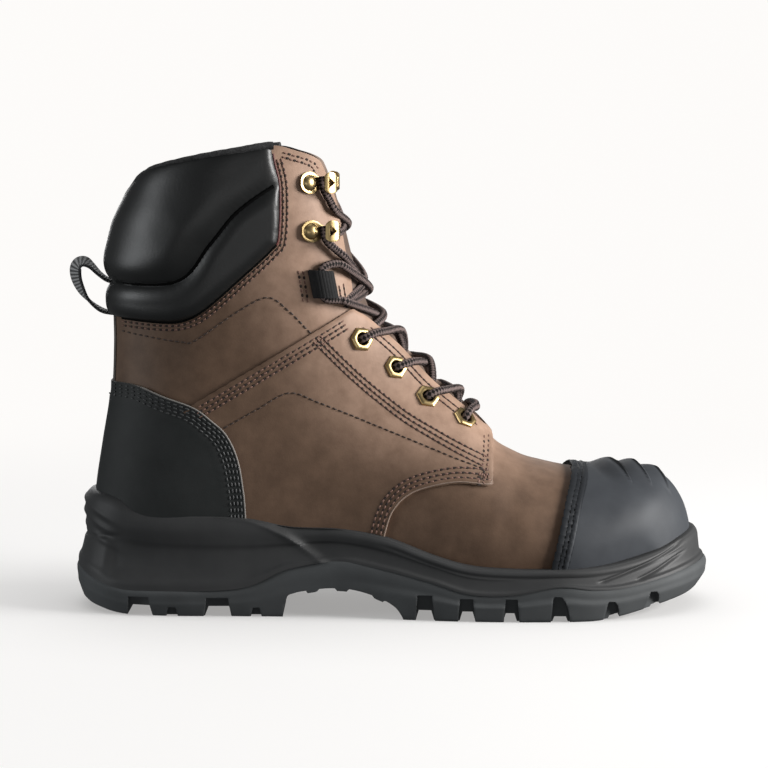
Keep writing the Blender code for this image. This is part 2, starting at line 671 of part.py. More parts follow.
def side_frame(place, side):
    """Point on the leather and its directions: forward, up and outward."""
    row, column = spot(place)
    if side == "inner":
        column = COLUMNS - 1 - column
    point, normal = on_last(row, column, 0.0)
    outward = Vector(normal)
    up = Vector((0.0, 0.0, 1.0))
    forward = up.cross(outward) if side == "outer" else outward.cross(up)
    forward.normalize()
    return Vector(point), forward, outward.cross(forward).normalized(), outward


def torus_solid(name, rings, finish):
    """A closed ring-shaped solid through loops of equal length, the last joined to the first."""
    count, total = len(rings[0]), len(rings)
    faces = []
    for level in range(total):
        after = (level + 1) % total
        for i in range(count):
            j = (i + 1) % count
            faces += [
                (level * count + i, level * count + j, after * count + j),
                (level * count + i, after * count + j, after * count + i),
            ]
    return mesh_object(name, [v for ring in rings for v in ring], faces, PARTS, finish)


def sweep_solid(name, sections, finish):
    """A closed bar through four-cornered sections."""
    faces = [(3, 2, 1, 0), tuple(range(len(sections) * 4 - 4, len(sections) * 4))]
    for level in range(len(sections) - 1):
        for i in range(4):
            j = (i + 1) % 4
            faces.append((level * 4 + i, level * 4 + j, level * 4 + 4 + j, level * 4 + 4 + i))
    return mesh_object(name, [v for section in sections for v in section], faces, PARTS, finish)


def tube(name, points, radius, place, finish=None):
    """A round cord along points in millimetres, as a mesh with closed ends."""
    curve = bpy.data.curves.new(name, "CURVE")
    curve.dimensions = "3D"
    curve.bevel_depth = radius * MM
    curve.bevel_resolution = 1
    curve.use_fill_caps = True
    line = curve.splines.new("POLY")
    line.points.add(len(points) - 1)
    for point, place_mm in zip(line.points, points):
        point.co = (*(float(c) * MM for c in place_mm), 1.0)
    holder = bpy.data.objects.new(name + "_path", curve)
    place.objects.link(holder)
    graph = bpy.context.evaluated_depsgraph_get()
    mesh = bpy.data.meshes.new_from_object(holder.evaluated_get(graph))
    bpy.data.objects.remove(holder, do_unlink=True)
    body = bmesh.new()
    body.from_mesh(mesh)
    bmesh.ops.remove_doubles(body, verts=body.verts, dist=1e-6)
    bmesh.ops.recalc_face_normals(body, faces=body.faces)
    body.to_mesh(mesh)
    body.free()
    made = bpy.data.objects.new(name, mesh)
    place.objects.link(made)
    mesh.materials.clear()
    if finish:
        mesh.materials.append(finish)
    return made


def eyelet_holes(side):
    """Round holes through quarter and upper, one cutter for a side."""
    body = bmesh.new()
    for place in EYELETS:
        point, forward, up, outward = side_frame(place, side)
        turn = Matrix((forward, up, outward)).transposed().to_4x4()
        move = Matrix.Translation(point * MM) @ turn
        bmesh.ops.create_cone(body, cap_ends=True, segments=HOLE_SIDES, radius1=EYELET_HOLE * MM,
                              radius2=EYELET_HOLE * MM, depth=16.0 * MM, matrix=move)
    mesh = bpy.data.meshes.new(f"eyelet_holes_{side}")
    body.to_mesh(mesh)
    body.free()
    made = bpy.data.objects.new(mesh.name, mesh)
    CUTTERS.objects.link(made)
    made.hide_render = True
    made.display_type = "WIRE"
    return made


def build_eyelet(number, side):
    """Six-sided brass flange on the quarter with a barrel through the leather."""
    point, forward, up, outward = side_frame(EYELETS[number], side)
    angles = [2 * math.pi * k / RING_SIDES for k in range(RING_SIDES)]
    seat = GAP + QUARTER_THICK + EYELET_CLEAR
    corner = EYELET_ACROSS / math.sqrt(3.0)
    flat = EYELET_ACROSS / 2

    def ring(radii, rise):
        return [
            point + (forward * math.cos(a) + up * math.sin(a)) * radii[k % 2] + outward * rise
            for k, a in enumerate(angles)
        ]

    bore, barrel, hexagon = (EYELET_BORE,) * 2, (EYELET_BARREL,) * 2, (corner, flat)
    inside = -WALL / 2
    rings = [
        ring(bore, seat + EYELET_FLANGE),
        ring(hexagon, seat + EYELET_FLANGE),
        ring(hexagon, seat),
        ring(barrel, seat),
        ring(barrel, inside),
        ring(bore, inside),
    ]
    torus_solid(f"eyelet_{side}_{number + 1}", rings, BRASS)


def build_hook(number, side):
    """Brass plate riveted to the facing, with a strip that turns out and back to hold the lace."""
    point, forward, up, outward = side_frame(HOOKS[number], side)
    sections = []
    for k, (ahead, out, half) in enumerate(HOOK_PATH):
        last, after = HOOK_PATH[max(k - 1, 0)], HOOK_PATH[min(k + 1, len(HOOK_PATH) - 1)]
        along = (forward * (after[0] - last[0]) + outward * (after[1] - last[1])).normalized()
        thick = along.cross(up).normalized() * (HOOK_THICK / 2)
        middle = point + forward * ahead + outward * out
        sections.append([middle + up * half + thick, middle - up * half + thick,
                         middle - up * half - thick, middle + up * half - thick])
    sweep_solid(f"hook_{side}_{number + 1}", sections, BRASS)


def build_lace_loop(side):
    """Flat webbing tube at the ankle, open up and down for the lace."""
    point, forward, up, outward = side_frame(LACE_LOOP, side)
    length, rise = LACE_LOOP_HALF
    middle = point + outward * (2 * GAP + LACE_LOOP_DEPTH / 2)

    def ring(inset, height_sign):
        loop = []
        for k in range(RING_SIDES):
            angle = 2 * math.pi * k / RING_SIDES
            ahead = forward * ((length - inset) * math.copysign(abs(math.cos(angle)) ** 0.6, math.cos(angle)))
            out = outward * ((LACE_LOOP_DEPTH / 2 - inset) * math.sin(angle))
            loop.append(middle + ahead + out + up * (rise * height_sign))
        return loop

    rings = [ring(0.0, 1), ring(0.0, -1), ring(LACE_LOOP_WALL, -1), ring(LACE_LOOP_WALL, 1)]
    torus_solid(f"lace_loop_{side}", rings, WEBBING)


def build_pull_loop():
    """Webbing sewn into the collar's back at both ends, twisted a little at its turn."""
    sections = []
    path = np.array([row[:2] for row in LOOP_PATH])
    along = np.gradient(path, axis=0)
    for (x, z, twist), way in zip(LOOP_PATH, along):
        tangent = Vector((way[0], 0.0, way[1])).normalized()
        turn = Matrix.Rotation(math.radians(twist), 3, tangent)
        across = turn @ Vector((0.0, 1.0, 0.0)) * (LOOP_WIDTH / 2)
        thick = tangent.cross(across).normalized() * (LOOP_THICK / 2)
        middle = Vector((x, 0.0, z))
        sections.append([middle + across + thick, middle - across + thick,
                         middle - across - thick, middle + across - thick])
    sweep_solid("pull_loop", sections, WEBBING)


def lace_path(start, end, side, share, lifts):
    """Points over the throat from a place on one side towards a place on the other, at a height off the leather.
    The inner strand of a crossing lies a little higher than the outer one."""
    row_a, column_a = spot(start)
    row_b, column_b = spot(end)
    column_b = COLUMNS - 1 - column_b
    over = LACE_OVER if side == "inner" else 0.0
    points = []
    for t in np.linspace(0.0, share, LACE_POINTS):
        lift = over + np.interp(min(t, 1.0 - t), LACE_PLACES, lifts)
        if t > 0.5 and share < 1.0:
            lift = over + lifts[2]
        column = column_a + (column_b - column_a) * t
        if side == "inner":
            column = COLUMNS - 1 - column
        points.append(on_last(row_a + (row_b - row_a) * t, column, lift)[0])
    return points


def build_laces():
    tube("lace_bar", lace_path(EYELETS[3], EYELETS[3], "outer", 1.0, BAR_LIFTS), LACE_RADIUS, PARTS, LACE)
    for number, (start, end, *lifts) in enumerate(LACE_STRANDS):
        name = f"lace_cross_{number + 1}"
        made = tube(name, lace_path(start, end, "outer", LACE_END, lifts), LACE_RADIUS, PARTS, LACE)
        strand = tube(f"{name}_strand", lace_path(start, end, "inner", LACE_END, lifts), LACE_RADIUS, CUTTERS)
        strand.hide_render = True
        strand.display_type = "WIRE"
        boolean(made, strand, "UNION")


for old in list(bpy.data.objects):
    bpy.data.objects.remove(old, do_unlink=True)
PARTS = collection("safety_boot")
CUTTERS = collection("cutters")
LEATHER = material("brown_leather", (0.130, 0.080, 0.055), 0.6)
RUBBER = material("black_rubber", (0.030, 0.030, 0.029), 0.55)
CLOTH = material("black_cloth", (0.020, 0.020, 0.021), 0.9)
COUNTER = material("black_coated_leather", (0.014, 0.017, 0.017), 0.65)
CAP = material("moulded_cap", (0.075, 0.080, 0.092), 0.5)
PADDING = material("black_smooth_leather", (0.020, 0.022, 0.022), 0.35)
WEBBING = material("black_webbing", (0.018, 0.018, 0.019), 0.85)
BRASS = material("brass", (0.480, 0.350, 0.120), 0.3, 1.0)
LACE = material("brown_lace", (0.070, 0.052, 0.050), 0.85)
EYELET_HOLES = {side: eyelet_holes(side) for side in ("outer", "inner")}

build_outsole()
build_midsole()
ABOVE, THROAT = build_upper()
build_tongue()
build_insole()
CLEARANCE = stack_solid("sole_clearance", midsole_rings(GAP), CUTTERS)
CLEARANCE.hide_render = True
CLEARANCE.display_type = "WIRE"
build_counter_and_quarters(CLEARANCE, THROAT)
build_toe_cap(CLEARANCE)
build_collar(ABOVE)
build_back_strap()
build_pull_loop()
for SIDE in ("outer", "inner"):
    for NUMBER in range(len(EYELETS)):
        build_eyelet(NUMBER, SIDE)
    for NUMBER in range(len(HOOKS)):
        build_hook(NUMBER, SIDE)
    build_lace_loop(SIDE)
build_laces()
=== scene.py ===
import math
import bmesh
import bpy
import numpy as np
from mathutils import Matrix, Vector


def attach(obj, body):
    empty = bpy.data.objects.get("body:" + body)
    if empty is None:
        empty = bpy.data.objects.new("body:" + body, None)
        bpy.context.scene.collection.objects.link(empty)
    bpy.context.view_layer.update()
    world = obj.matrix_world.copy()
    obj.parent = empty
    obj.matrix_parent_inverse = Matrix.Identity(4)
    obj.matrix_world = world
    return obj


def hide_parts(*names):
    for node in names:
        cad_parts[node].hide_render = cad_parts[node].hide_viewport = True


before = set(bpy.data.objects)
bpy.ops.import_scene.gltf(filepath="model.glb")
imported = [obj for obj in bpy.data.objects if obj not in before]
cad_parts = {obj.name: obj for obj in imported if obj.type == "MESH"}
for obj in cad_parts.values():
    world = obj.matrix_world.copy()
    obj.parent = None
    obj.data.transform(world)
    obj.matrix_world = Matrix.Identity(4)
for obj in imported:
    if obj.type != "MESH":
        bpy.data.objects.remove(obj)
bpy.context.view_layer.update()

# Camera
# A long lens a little above the boot, square to the outer side of the right boot.
# It leaves an even border round the whole boot.
camera_data = bpy.data.cameras.new("camera")
camera_data.sensor_width = 36.0
camera_data.lens = 115.3
camera_object = bpy.data.objects.new("camera", camera_data)
bpy.context.scene.collection.objects.link(camera_object)
camera_object.location = (-0.0025, -1.2, 0.223)
camera_aim = Vector((-0.0025, 0.0, 0.1075)) - camera_object.location
camera_object.rotation_euler = camera_aim.to_track_quat("-Z", "Y").to_euler()
bpy.context.scene.camera = camera_object

# Floor and studio
# A pale sweep of paper: flat under the boot, turned up far behind it and lit evenly.
# Five soft lights stand round it, the strongest of them at the toe.
bpy.ops.object.select_all(action="DESELECT")
bpy.ops.mesh.primitive_grid_add(x_subdivisions=2, y_subdivisions=60, size=2.0)
floor = bpy.context.object
floor.name = "floor"
for vertex in floor.data.vertices:
    run = (vertex.co.y + 1.0) / 2.0 * 7.0
    turn = min(max((run - 4.0) / 1.5, 0.0), 1.0) * math.pi / 2.0
    far = min(run, 4.0) - 2.5 + 0.955 * math.sin(turn)
    high = 0.955 * (1.0 - math.cos(turn)) + max(run - 5.5, 0.0)
    vertex.co = (vertex.co.x * 4.0, far, high)
bpy.ops.object.shade_smooth()
floor_material = bpy.data.materials.new("floor_paper")
floor_material.use_nodes = True
floor_nodes = floor_material.node_tree.nodes
floor_links = floor_material.node_tree.links
floor_shader = floor_nodes["Principled BSDF"]
floor_shader.inputs["Roughness"].default_value = 0.9
floor_shader.inputs["Specular IOR Level"].default_value = 0.0
floor_shader.inputs["Emission Color"].default_value = (1.0, 0.983, 0.966, 1.0)
floor_place = floor_nodes.new("ShaderNodeTexCoord")
floor_run = floor_nodes.new("ShaderNodeVectorMath")
floor_run.operation = "LENGTH"
floor_links.new(floor_place.outputs["Object"], floor_run.inputs[0])
for low, high, socket in ((0.56, 0.985, "Emission Strength"), (0.42, 0.0, "Base Color")):
    fade = floor_nodes.new("ShaderNodeMapRange")
    fade.interpolation_type = "SMOOTHSTEP"
    fade.inputs["From Min"].default_value = 0.2
    fade.inputs["From Max"].default_value = 0.9
    fade.inputs["To Min"].default_value = low
    fade.inputs["To Max"].default_value = high
    floor_links.new(floor_run.outputs["Value"], fade.inputs["Value"])
    floor_links.new(fade.outputs["Result"], floor_shader.inputs[socket])
floor_glow = floor_shader.inputs["Emission Strength"].links[0].from_socket
# The paper glows of itself, less near the boot. Painted contact shadow: an ambient-occlusion term dims that
# glow close to the boot.
floor_contact_shadow_ao = floor_nodes.new("ShaderNodeAmbientOcclusion")
floor_contact_shadow_ao.samples = 8
floor_contact_shadow_ao.inputs["Distance"].default_value = 0.12
floor_shade = floor_nodes.new("ShaderNodeMapRange")
floor_shade.inputs["From Min"].default_value = 0.3
floor_shade.inputs["To Min"].default_value = 0.62
floor_links.new(floor_contact_shadow_ao.outputs["AO"], floor_shade.inputs["Value"])
floor_glow_painted_shadow = floor_nodes.new("ShaderNodeMath")
floor_glow_painted_shadow.operation = "MULTIPLY"
floor_links.new(floor_glow, floor_glow_painted_shadow.inputs[0])
floor_links.new(floor_shade.outputs["Result"], floor_glow_painted_shadow.inputs[1])
floor_links.new(floor_glow_painted_shadow.outputs["Value"], floor_shader.inputs["Emission Strength"])
floor.data.materials.append(floor_material)
floor.visible_diffuse = False
floor.visible_glossy = False

world = bpy.data.worlds.new("studio")
world.use_nodes = True
world.node_tree.nodes["Background"].inputs["Color"].default_value = (0.96, 0.98, 1.0, 1.0)
world.node_tree.nodes["Background"].inputs["Strength"].default_value = 0.14
bpy.context.scene.world = world
bpy.context.scene.view_settings.view_transform = "Standard"


def softbox(name, spot, aim, width, height, watts, colour):
    light = bpy.data.lights.new(name, "AREA")
    light.shape = "RECTANGLE"
    light.size = width
    light.size_y = height
    light.energy = watts
    light.color = colour
    lamp = bpy.data.objects.new(name, light)
    bpy.context.scene.collection.objects.link(lamp)
    lamp.location = spot
    lamp.rotation_euler = (Vector(aim) - Vector(spot)).to_track_quat("-Z", "Y").to_euler()


softbox("key", (1.5, -0.36, 0.5), (0.0, 0.0, 0.12), 0.8, 0.8, 56.0, (1.0, 0.985, 0.97))
softbox("top", (0.1, 0.0, 1.6), (0.0, 0.0, 0.1), 1.0, 1.0, 4.0, (1.0, 1.0, 1.0))
softbox("left", (-1.4, -0.42, 0.3), (-0.05, 0.0, 0.08), 0.5, 0.7, 7.5, (0.95, 0.98, 1.0))
softbox("low", (0.0, -1.6, 0.06), (0.0, 0.0, 0.0), 1.2, 0.2, 2.6, (1.0, 1.0, 1.0))
softbox("rear", (-0.3, 1.5, 0.5), (0.0, 0.0, 0.1), 1.0, 0.8, 8.0, (1.0, 1.0, 1.0))

# Last
# The wooden shape that the leather is drawn over. It is not shown: its skin is a table of places and
# outward directions, from sections that turn from the shaft round the ankle to the toe.
LAST = np.array([
    # top x and z, end x and z, widest place, half width, swing, half end, sweep, squareness
    (-21.0, 240.0, -111.0, 230.0, 0.50, 40.5, 0.0, 6.0, 0.0, 2.70),
    (-27.3, 214.0, -123.0, 203.0, 0.50, 40.5, 0.0, 6.0, 0.0, 2.70),
    (-20.6, 186.0, -130.5, 178.0, 0.50, 39.6, 0.0, 6.0, 0.0, 2.70),
    (-15.6, 160.0, -132.6, 152.0, 0.50, 38.6, 0.0, 6.0, 0.0, 2.70),
    (-11.3, 147.6, -132.6, 128.0, 0.52, 38.0, 0.0, 6.0, 0.0, 2.70),
    (-6.4, 140.6, -133.8, 104.0, 0.56, 37.6, 0.0, 6.5, 0.0, 2.70),
    (-0.6, 135.0, -137.7, 80.0, 0.61, 37.2, 0.0, 7.0, 0.0, 2.70),
    (5.4, 129.2, -141.0, 57.0, 0.66, 37.0, 0.0, 8.0, 0.0, 2.70),
    (11.2, 123.2, -140.5, 38.5, 0.70, 37.0, 0.0, 11.0, 0.0, 2.70),
    (16.8, 117.2, -133.0, 28.0, 0.72, 37.2, 0.0, 17.0, 0.0, 2.65),
    (22.8, 111.0, -106.0, 26.5, 0.72, 37.6, -0.2, 27.0, 0.0, 2.60),
    (29.4, 105.0, -73.0, 26.0, 0.71, 38.6, -0.6, 30.0, 0.0, 2.50),
    (36.4, 98.8, -39.0, 24.5, 0.70, 40.6, -1.2, 32.0, 0.0, 2.40),
    (43.6, 91.0, -5.0, 21.5, 0.70, 44.4, -1.6, 36.0, 0.0, 2.30),
    (51.4, 80.6, 27.0, 18.9, 0.71, 49.0, -1.6, 41.5, 0.0, 2.15),
    (61.0, 74.8, 51.0, 17.5, 0.72, 51.8, -1.0, 45.0, 0.0, 2.05),
    (76.0, 69.6, 71.0, 17.0, 0.72, 52.6, 0.0, 46.0, 0.0, 2.05),
    (92.0, 66.4, 88.0, 17.3, 0.70, 51.4, 1.0, 45.0, 1.0, 2.05),
    (107.5, 65.2, 101.0, 18.0, 0.66, 48.8, 2.0, 42.5, 3.5, 2.05),
    (121.5, 64.4, 112.0, 18.8, 0.62, 45.6, 2.6, 39.5, 7.0, 2.05),
    (134.0, 60.0, 122.5, 19.8, 0.58, 41.8, 3.0, 36.5, 10.5, 2.05),
    (141.8, 50.0, 131.0, 20.8, 0.55, 38.0, 3.2, 33.5, 13.0, 2.05),
    (145.6, 37.2, 137.5, 21.6, 0.50, 34.4, 3.4, 31.0, 13.5, 2.05),
    (146.4, 24.5, 142.0, 22.3, 0.50, 30.5, 3.5, 28.5, 12.0, 2.05),
])
LAST_ROUND = 2.05
ROW_STEPS = 10
SIDE = 100
STRIP = 8
LOOP = 2 * (SIDE + STRIP)
TOP = SIDE + STRIP


def through(rows, places):
    rows = np.asarray(rows, float)
    ends = 2.0 * rows[:1] - rows[1:2], 2.0 * rows[-1:] - rows[-2:-1]
    padded = np.vstack([ends[0], rows, ends[1]])
    index = np.clip(np.floor(places).astype(int), 0, len(rows) - 2)
    share = (places - index)[:, None]
    a, b, c, d = (padded[index + step] for step in range(4))
    bend = (2.0 * a - 5.0 * b + 4.0 * c - d) * share ** 2
    return 0.5 * (2.0 * b + (c - a) * share + bend + (3.0 * b - a - 3.0 * c + d) * share ** 3)


def evenly(points, count):
    steps = np.linalg.norm(np.diff(points, axis=0), axis=1)
    run = np.concatenate([[0.0], np.cumsum(steps)])
    wanted = np.linspace(0.0, run[-1], count)
    return np.stack([np.interp(wanted, run, points[:, axis]) for axis in range(points.shape[1])], axis=1)


def section_side(section):
    top_x, top_z, end_x, end_z, widest, half, swing, end_half, sweep, square = section
    part = np.linspace(1.0, 0.0, 801)
    front = part <= 0.5
    turn = np.where(front, part, part - 0.5) * np.pi
    power = 2.0 / np.where(front, square, LAST_ROUND)
    sine = np.abs(np.sin(turn)) ** power
    cosine = np.abs(np.cos(turn)) ** power
    along = np.where(front, widest * (1.0 - cosine), widest + (1.0 - widest) * sine)
    out = np.where(front, half * sine, end_half + (half - end_half) * cosine)
    long = math.hypot(end_x - top_x, end_z - top_z)
    side = evenly(np.stack([along * long, out], axis=1), SIDE + 1) / (long, 1.0)
    strip = np.stack([np.ones(STRIP), np.linspace(0.0, end_half, STRIP, endpoint=False)], axis=1)
    along, out = np.vstack([strip, side]).T
    x = top_x + (end_x - top_x) * along - sweep * (out / half) ** 2
    z = top_z + (end_z - top_z) * along
    outer = np.stack([x, swing - out, z], axis=1)
    inner = np.stack([x, swing + out, z], axis=1)
    return np.vstack([outer, inner[-2:0:-1]])


last_rows = through(LAST, np.linspace(0.0, len(LAST) - 1.0, (len(LAST) - 1) * ROW_STEPS + 1))
SKIN = np.array([section_side(section) for section in last_rows])
down = np.gradient(SKIN, axis=0)
around = np.roll(SKIN, -1, axis=1) - np.roll(SKIN, 1, axis=1)
SKIN_OUT = np.cross(around, down)
SKIN_OUT /= np.linalg.norm(SKIN_OUT, axis=2, keepdims=True)
if SKIN_OUT[115, STRIP + 50, 1] > 0.0:
    SKIN_OUT = -SKIN_OUT


def on_skin(table, row, column):
    row = np.clip(np.asarray(row, float) * ROW_STEPS, 0.0, len(table) - 1.0001)
    column = np.mod(np.asarray(column, float), LOOP)
    i = row.astype(int)
    j = column.astype(int) % LOOP
    a = (row - i)[..., None]
    b = (column - np.floor(column))[..., None]
    k = (j + 1) % LOOP
    upper = table[i, j] * (1.0 - b) + table[i, k] * b
    lower = table[i + 1, j] * (1.0 - b) + table[i + 1, k] * b
    return upper * (1.0 - a) + lower * a


def skin(row, column, lift=0.0):
    lift = np.broadcast_to(np.asarray(lift, float), np.shape(row))[..., None]
    return on_skin(SKIN, row, column) + on_skin(SKIN_OUT, row, column) * lift


# Outsole
# Black rubber tread with edge lugs, a raised ribbed arch and toe spring, moulded in one piece.
# The lugs are what the gaps leave between them; the wall is set back above each gap.
MM = 0.001
SOLE_PLAN = [
    # x, half width to the outer side, half width to the inner side
    (-153.5, 0.0, 0.0), (-151.0, 15.0, 15.0), (-144.0, 28.5, 28.5), (-130.0, 38.0, 38.0),
    (-105.0, 43.5, 43.0), (-72.0, 44.5, 43.5), (-38.0, 46.5, 44.0), (-4.0, 51.0, 47.0),
    (30.0, 56.5, 51.5), (60.0, 58.3, 55.5), (88.0, 58.3, 58.3), (110.0, 53.0, 56.5),
    (130.0, 43.0, 48.0), (145.0, 29.5, 36.0), (153.5, 13.0, 20.0), (156.5, -3.0, 3.0),
]
SOLE_HEIGHTS = np.array([
    # x, heights of tread, parting line and rim
    (-154.0, 4.6, 21.0, 57.5), (-143.0, 2.6, 16.6, 57.0), (-132.0, 0.6, 13.2, 55.5),
    (-118.0, 0.0, 12.2, 50.0), (-72.0, 0.0, 14.0, 48.0),
    (-48.0, 0.0, 23.6, 43.5), (-24.0, 0.0, 27.4, 42.6), (-3.0, 0.0, 24.0, 39.2), (20.0, 0.0, 18.4, 31.0),
    (38.0, 0.0, 13.2, 26.4), (58.0, 0.0, 13.0, 25.0), (80.0, 0.0, 16.8, 24.8), (97.0, 0.0, 15.2, 25.3),
    (112.0, 1.8, 15.4, 27.0), (130.0, 5.2, 18.5, 30.6), (147.0, 7.8, 22.0, 35.6), (157.0, 9.0, 23.5, 38.2),
])
SOLE_STATIONS = 480
LEVEL_PLACES = (-140.0, -30.0, 60.0, 145.0)
OUTSOLE_LEVELS = [
    # share of the height, set-back at each of the four places
    (0.0, -3.6, -3.6, -2.0, -5.2), (0.06, -2.8, -2.9, -1.0, -4.4), (0.45, -0.6, -0.8, -0.2, -0.8),
    (0.58, -0.4, -0.5, 0.0, -0.4), (0.68, -0.2, -0.3, -1.4, -0.2), (0.80, 0.0, 0.0, -1.4, 0.0),
    (0.92, 0.0, -0.2, -1.4, -0.4), (1.0, -0.6, -0.8, -1.7, -1.4),
]
LUG_GAPS = [
    # from, to, height of the gap, height of the set-back wall over it
    (-125.7, -113.2, 4.7, 9.4), (-88.4, -75.0, 4.7, 9.4), (12.4, 21.5, 4.6, 12.4), (33.0, 41.0, 4.4, 11.0),
    (53.5, 60.7, 3.8, 11.0), (76.4, 85.0, 2.4, 12.4), (102.7, 109.9, 1.6, 8.6), (123.3, 130.4, 1.6, 8.2),
]
POCKET_DEEP = 4.2
POCKET_SQUARE = [(0.0, 0.0), (1.0, 0.0), (1.0, 1.0), (0.0, 1.0)]
POCKET_ARCH = [
    (0.0, 0.0), (1.05, 0.0), (1.04, 0.4), (0.98, 0.62), (0.86, 0.82), (0.64, 0.98), (0.1, 1.0), (0.0, 0.9),
]
LUG_TAPER = 1.6
NOTCHES = [(-107.0, -100.6), (-66.5, -60.5)]
ARCH_LINE = [
    (-51.0, -1.0), (-49.0, 9.4), (-45.0, 12.0), (-38.0, 13.4), (-28.0, 14.6), (-16.8, 14.0), (-5.0, 10.6),
    (2.4, 6.4), (5.8, 2.0), (7.0, -1.0),
]
ARCH_RIBS = [(-39.2, -34.4), (-25.2, -19.8), (-7.0, -2.6)]


def curve(points, count=12):
    points = np.asarray(points, float)
    return through(points, np.linspace(0.0, len(points) - 1.0, (len(points) - 1) * count + 1))


def ease(value, low, high):
    share = np.clip((value - low) / (high - low), 0.0, 1.0)
    return share * share * (3.0 - 2.0 * share)


def sheet_grid(name, across, along):
    """A flat grid primitive and its vertices' own places, each 0 to 1."""
    bpy.ops.object.select_all(action="DESELECT")
    bpy.ops.mesh.primitive_grid_add(x_subdivisions=across, y_subdivisions=along, size=2.0)
    piece = bpy.context.object
    piece.name = name
    piece.data.name = name
    flat = np.empty(len(piece.data.vertices) * 3)
    piece.data.vertices.foreach_get("co", flat)
    flat = flat.reshape(-1, 3)
    return piece, (flat[:, 0] + 1.0) / 2.0, (flat[:, 1] + 1.0) / 2.0


def move_vertices(piece, places):
    piece.data.vertices.foreach_set("co", (np.asarray(places) * MM).ravel())
    piece.data.update()


def flip(piece):
    bpy.ops.object.select_all(action="DESELECT")
    piece.select_set(True)
    bpy.context.view_layer.objects.active = piece
    bpy.ops.object.mode_set(mode="EDIT")
    bpy.ops.mesh.select_all(action="SELECT")
    bpy.ops.mesh.flip_normals()
    bpy.ops.object.mode_set(mode="OBJECT")


def face_out(piece):
    """Turns the faces of a closed mesh outwards."""
    mesh = bmesh.new()
    mesh.from_mesh(piece.data)
    inside_out = mesh.calc_volume(signed=True) < 0.0
    mesh.free()
    if inside_out:
        flip(piece)


def apply_modifier(piece, kind, **settings):
    bpy.ops.object.select_all(action="DESELECT")
    piece.select_set(True)
    bpy.context.view_layer.objects.active = piece
    modifier = piece.modifiers.new(kind.lower(), kind)
    for key, value in settings.items():
        setattr(modifier, key, value)
    bpy.ops.object.modifier_apply(modifier=modifier.name)


def finish_mesh(piece, angle=40.0):
    bpy.ops.object.select_all(action="DESELECT")
    piece.select_set(True)
    bpy.context.view_layer.objects.active = piece
    bpy.ops.object.shade_smooth_by_angle(angle=math.radians(angle))
    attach(piece, "root")


def node_of(material, kind, **values):
    node = material.node_tree.nodes.new(kind)
    for key, value in values.items():
        if key in node.inputs:
            node.inputs[key].default_value = value
        else:
            setattr(node, key, value)
    return node


def hide(
    name, dark, light, rough, grain=1.0, grain_deep=0.06, mottle=16.0, coat=0.0, sheen=0.0, specular=0.5,
):
    """A leather, cloth or rubber: two tones mottled over its own coordinates and a fine raised grain."""
    material = bpy.data.materials.new(name)
    material.use_nodes = True
    links = material.node_tree.links
    shader = material.node_tree.nodes["Principled BSDF"]
    place = node_of(material, "ShaderNodeTexCoord")
    cloud = node_of(material, "ShaderNodeTexNoise", Scale=1000.0 / mottle, Detail=5.0, Roughness=0.6)
    links.new(place.outputs["Object"], cloud.inputs["Vector"])
    spread = node_of(material, "ShaderNodeMapRange")
    spread.inputs["From Min"].default_value = 0.32
    spread.inputs["From Max"].default_value = 0.68
    links.new(cloud.outputs["Fac"], spread.inputs["Value"])
    blend = node_of(material, "ShaderNodeMix", data_type="RGBA")
    blend.inputs[6].default_value = (*dark, 1.0)
    blend.inputs[7].default_value = (*light, 1.0)
    links.new(spread.outputs["Result"], blend.inputs[0])
    links.new(blend.outputs[2], shader.inputs["Base Color"])
    fine = node_of(material, "ShaderNodeTexNoise", Scale=1000.0 / grain, Detail=3.0, Roughness=0.55)
    links.new(place.outputs["Object"], fine.inputs["Vector"])
    bump = node_of(material, "ShaderNodeBump", Strength=0.5, Distance=grain_deep * MM)
    links.new(fine.outputs["Fac"], bump.inputs["Height"])
    links.new(bump.outputs["Normal"], shader.inputs["Normal"])
    shader.inputs["Roughness"].default_value = rough
    shader.inputs["Coat Weight"].default_value = coat
    shader.inputs["Coat Roughness"].default_value = 0.35
    shader.inputs["Sheen Weight"].default_value = sheen
    shader.inputs["Specular IOR Level"].default_value = specular
    return material


def plan_loop(stations):
    outer = [(x, -out) for x, out, _ in SOLE_PLAN]
    inner = [(x, far) for x, _, far in SOLE_PLAN]
    ring = np.array(outer + inner[-2:0:-1])
    padded = np.vstack([ring[-2:], ring, ring[:3]])
    smooth = through(padded, np.linspace(2.0, 2.0 + len(ring), len(ring) * 24 + 1))
    return evenly(smooth, stations + 1)[:-1]


sole_ring = plan_loop(SOLE_STATIONS)
ring_step = np.roll(sole_ring, -1, axis=0) - np.roll(sole_ring, 1, axis=0)
ring_out = np.stack([ring_step[:, 1], -ring_step[:, 0]], axis=1)
ring_out /= np.linalg.norm(ring_out, axis=1, keepdims=True)
if ring_out[np.argmin(sole_ring[:, 0]), 0] > 0.0:
    ring_out = -ring_out
height_line = curve(SOLE_HEIGHTS, 16)
order = np.argsort(height_line[:, 0])
height_line = height_line[order]


def sole_height(x, which):
    return np.interp(x, height_line[:, 0], height_line[:, which])


def sole_inset(levels, x, share):
    levels = np.asarray(levels, float)
    fine = np.linspace(0.0, len(levels) - 1.0, (len(levels) - 1) * 10 + 1)
    smooth = through(levels, fine)
    smooth[:, 0] = np.maximum.accumulate(smooth[:, 0])
    columns = [np.interp(share, smooth[:, 0], smooth[:, step]) for step in range(1, 5)]
    place = np.interp(x, LEVEL_PLACES, range(4))
    index = np.clip(place.astype(int), 0, 2)
    part = place - index
    stack = np.stack(columns)
    pick = np.arange(len(x))
    return stack[index, pick] * (1.0 - part) + stack[index + 1, pick] * part


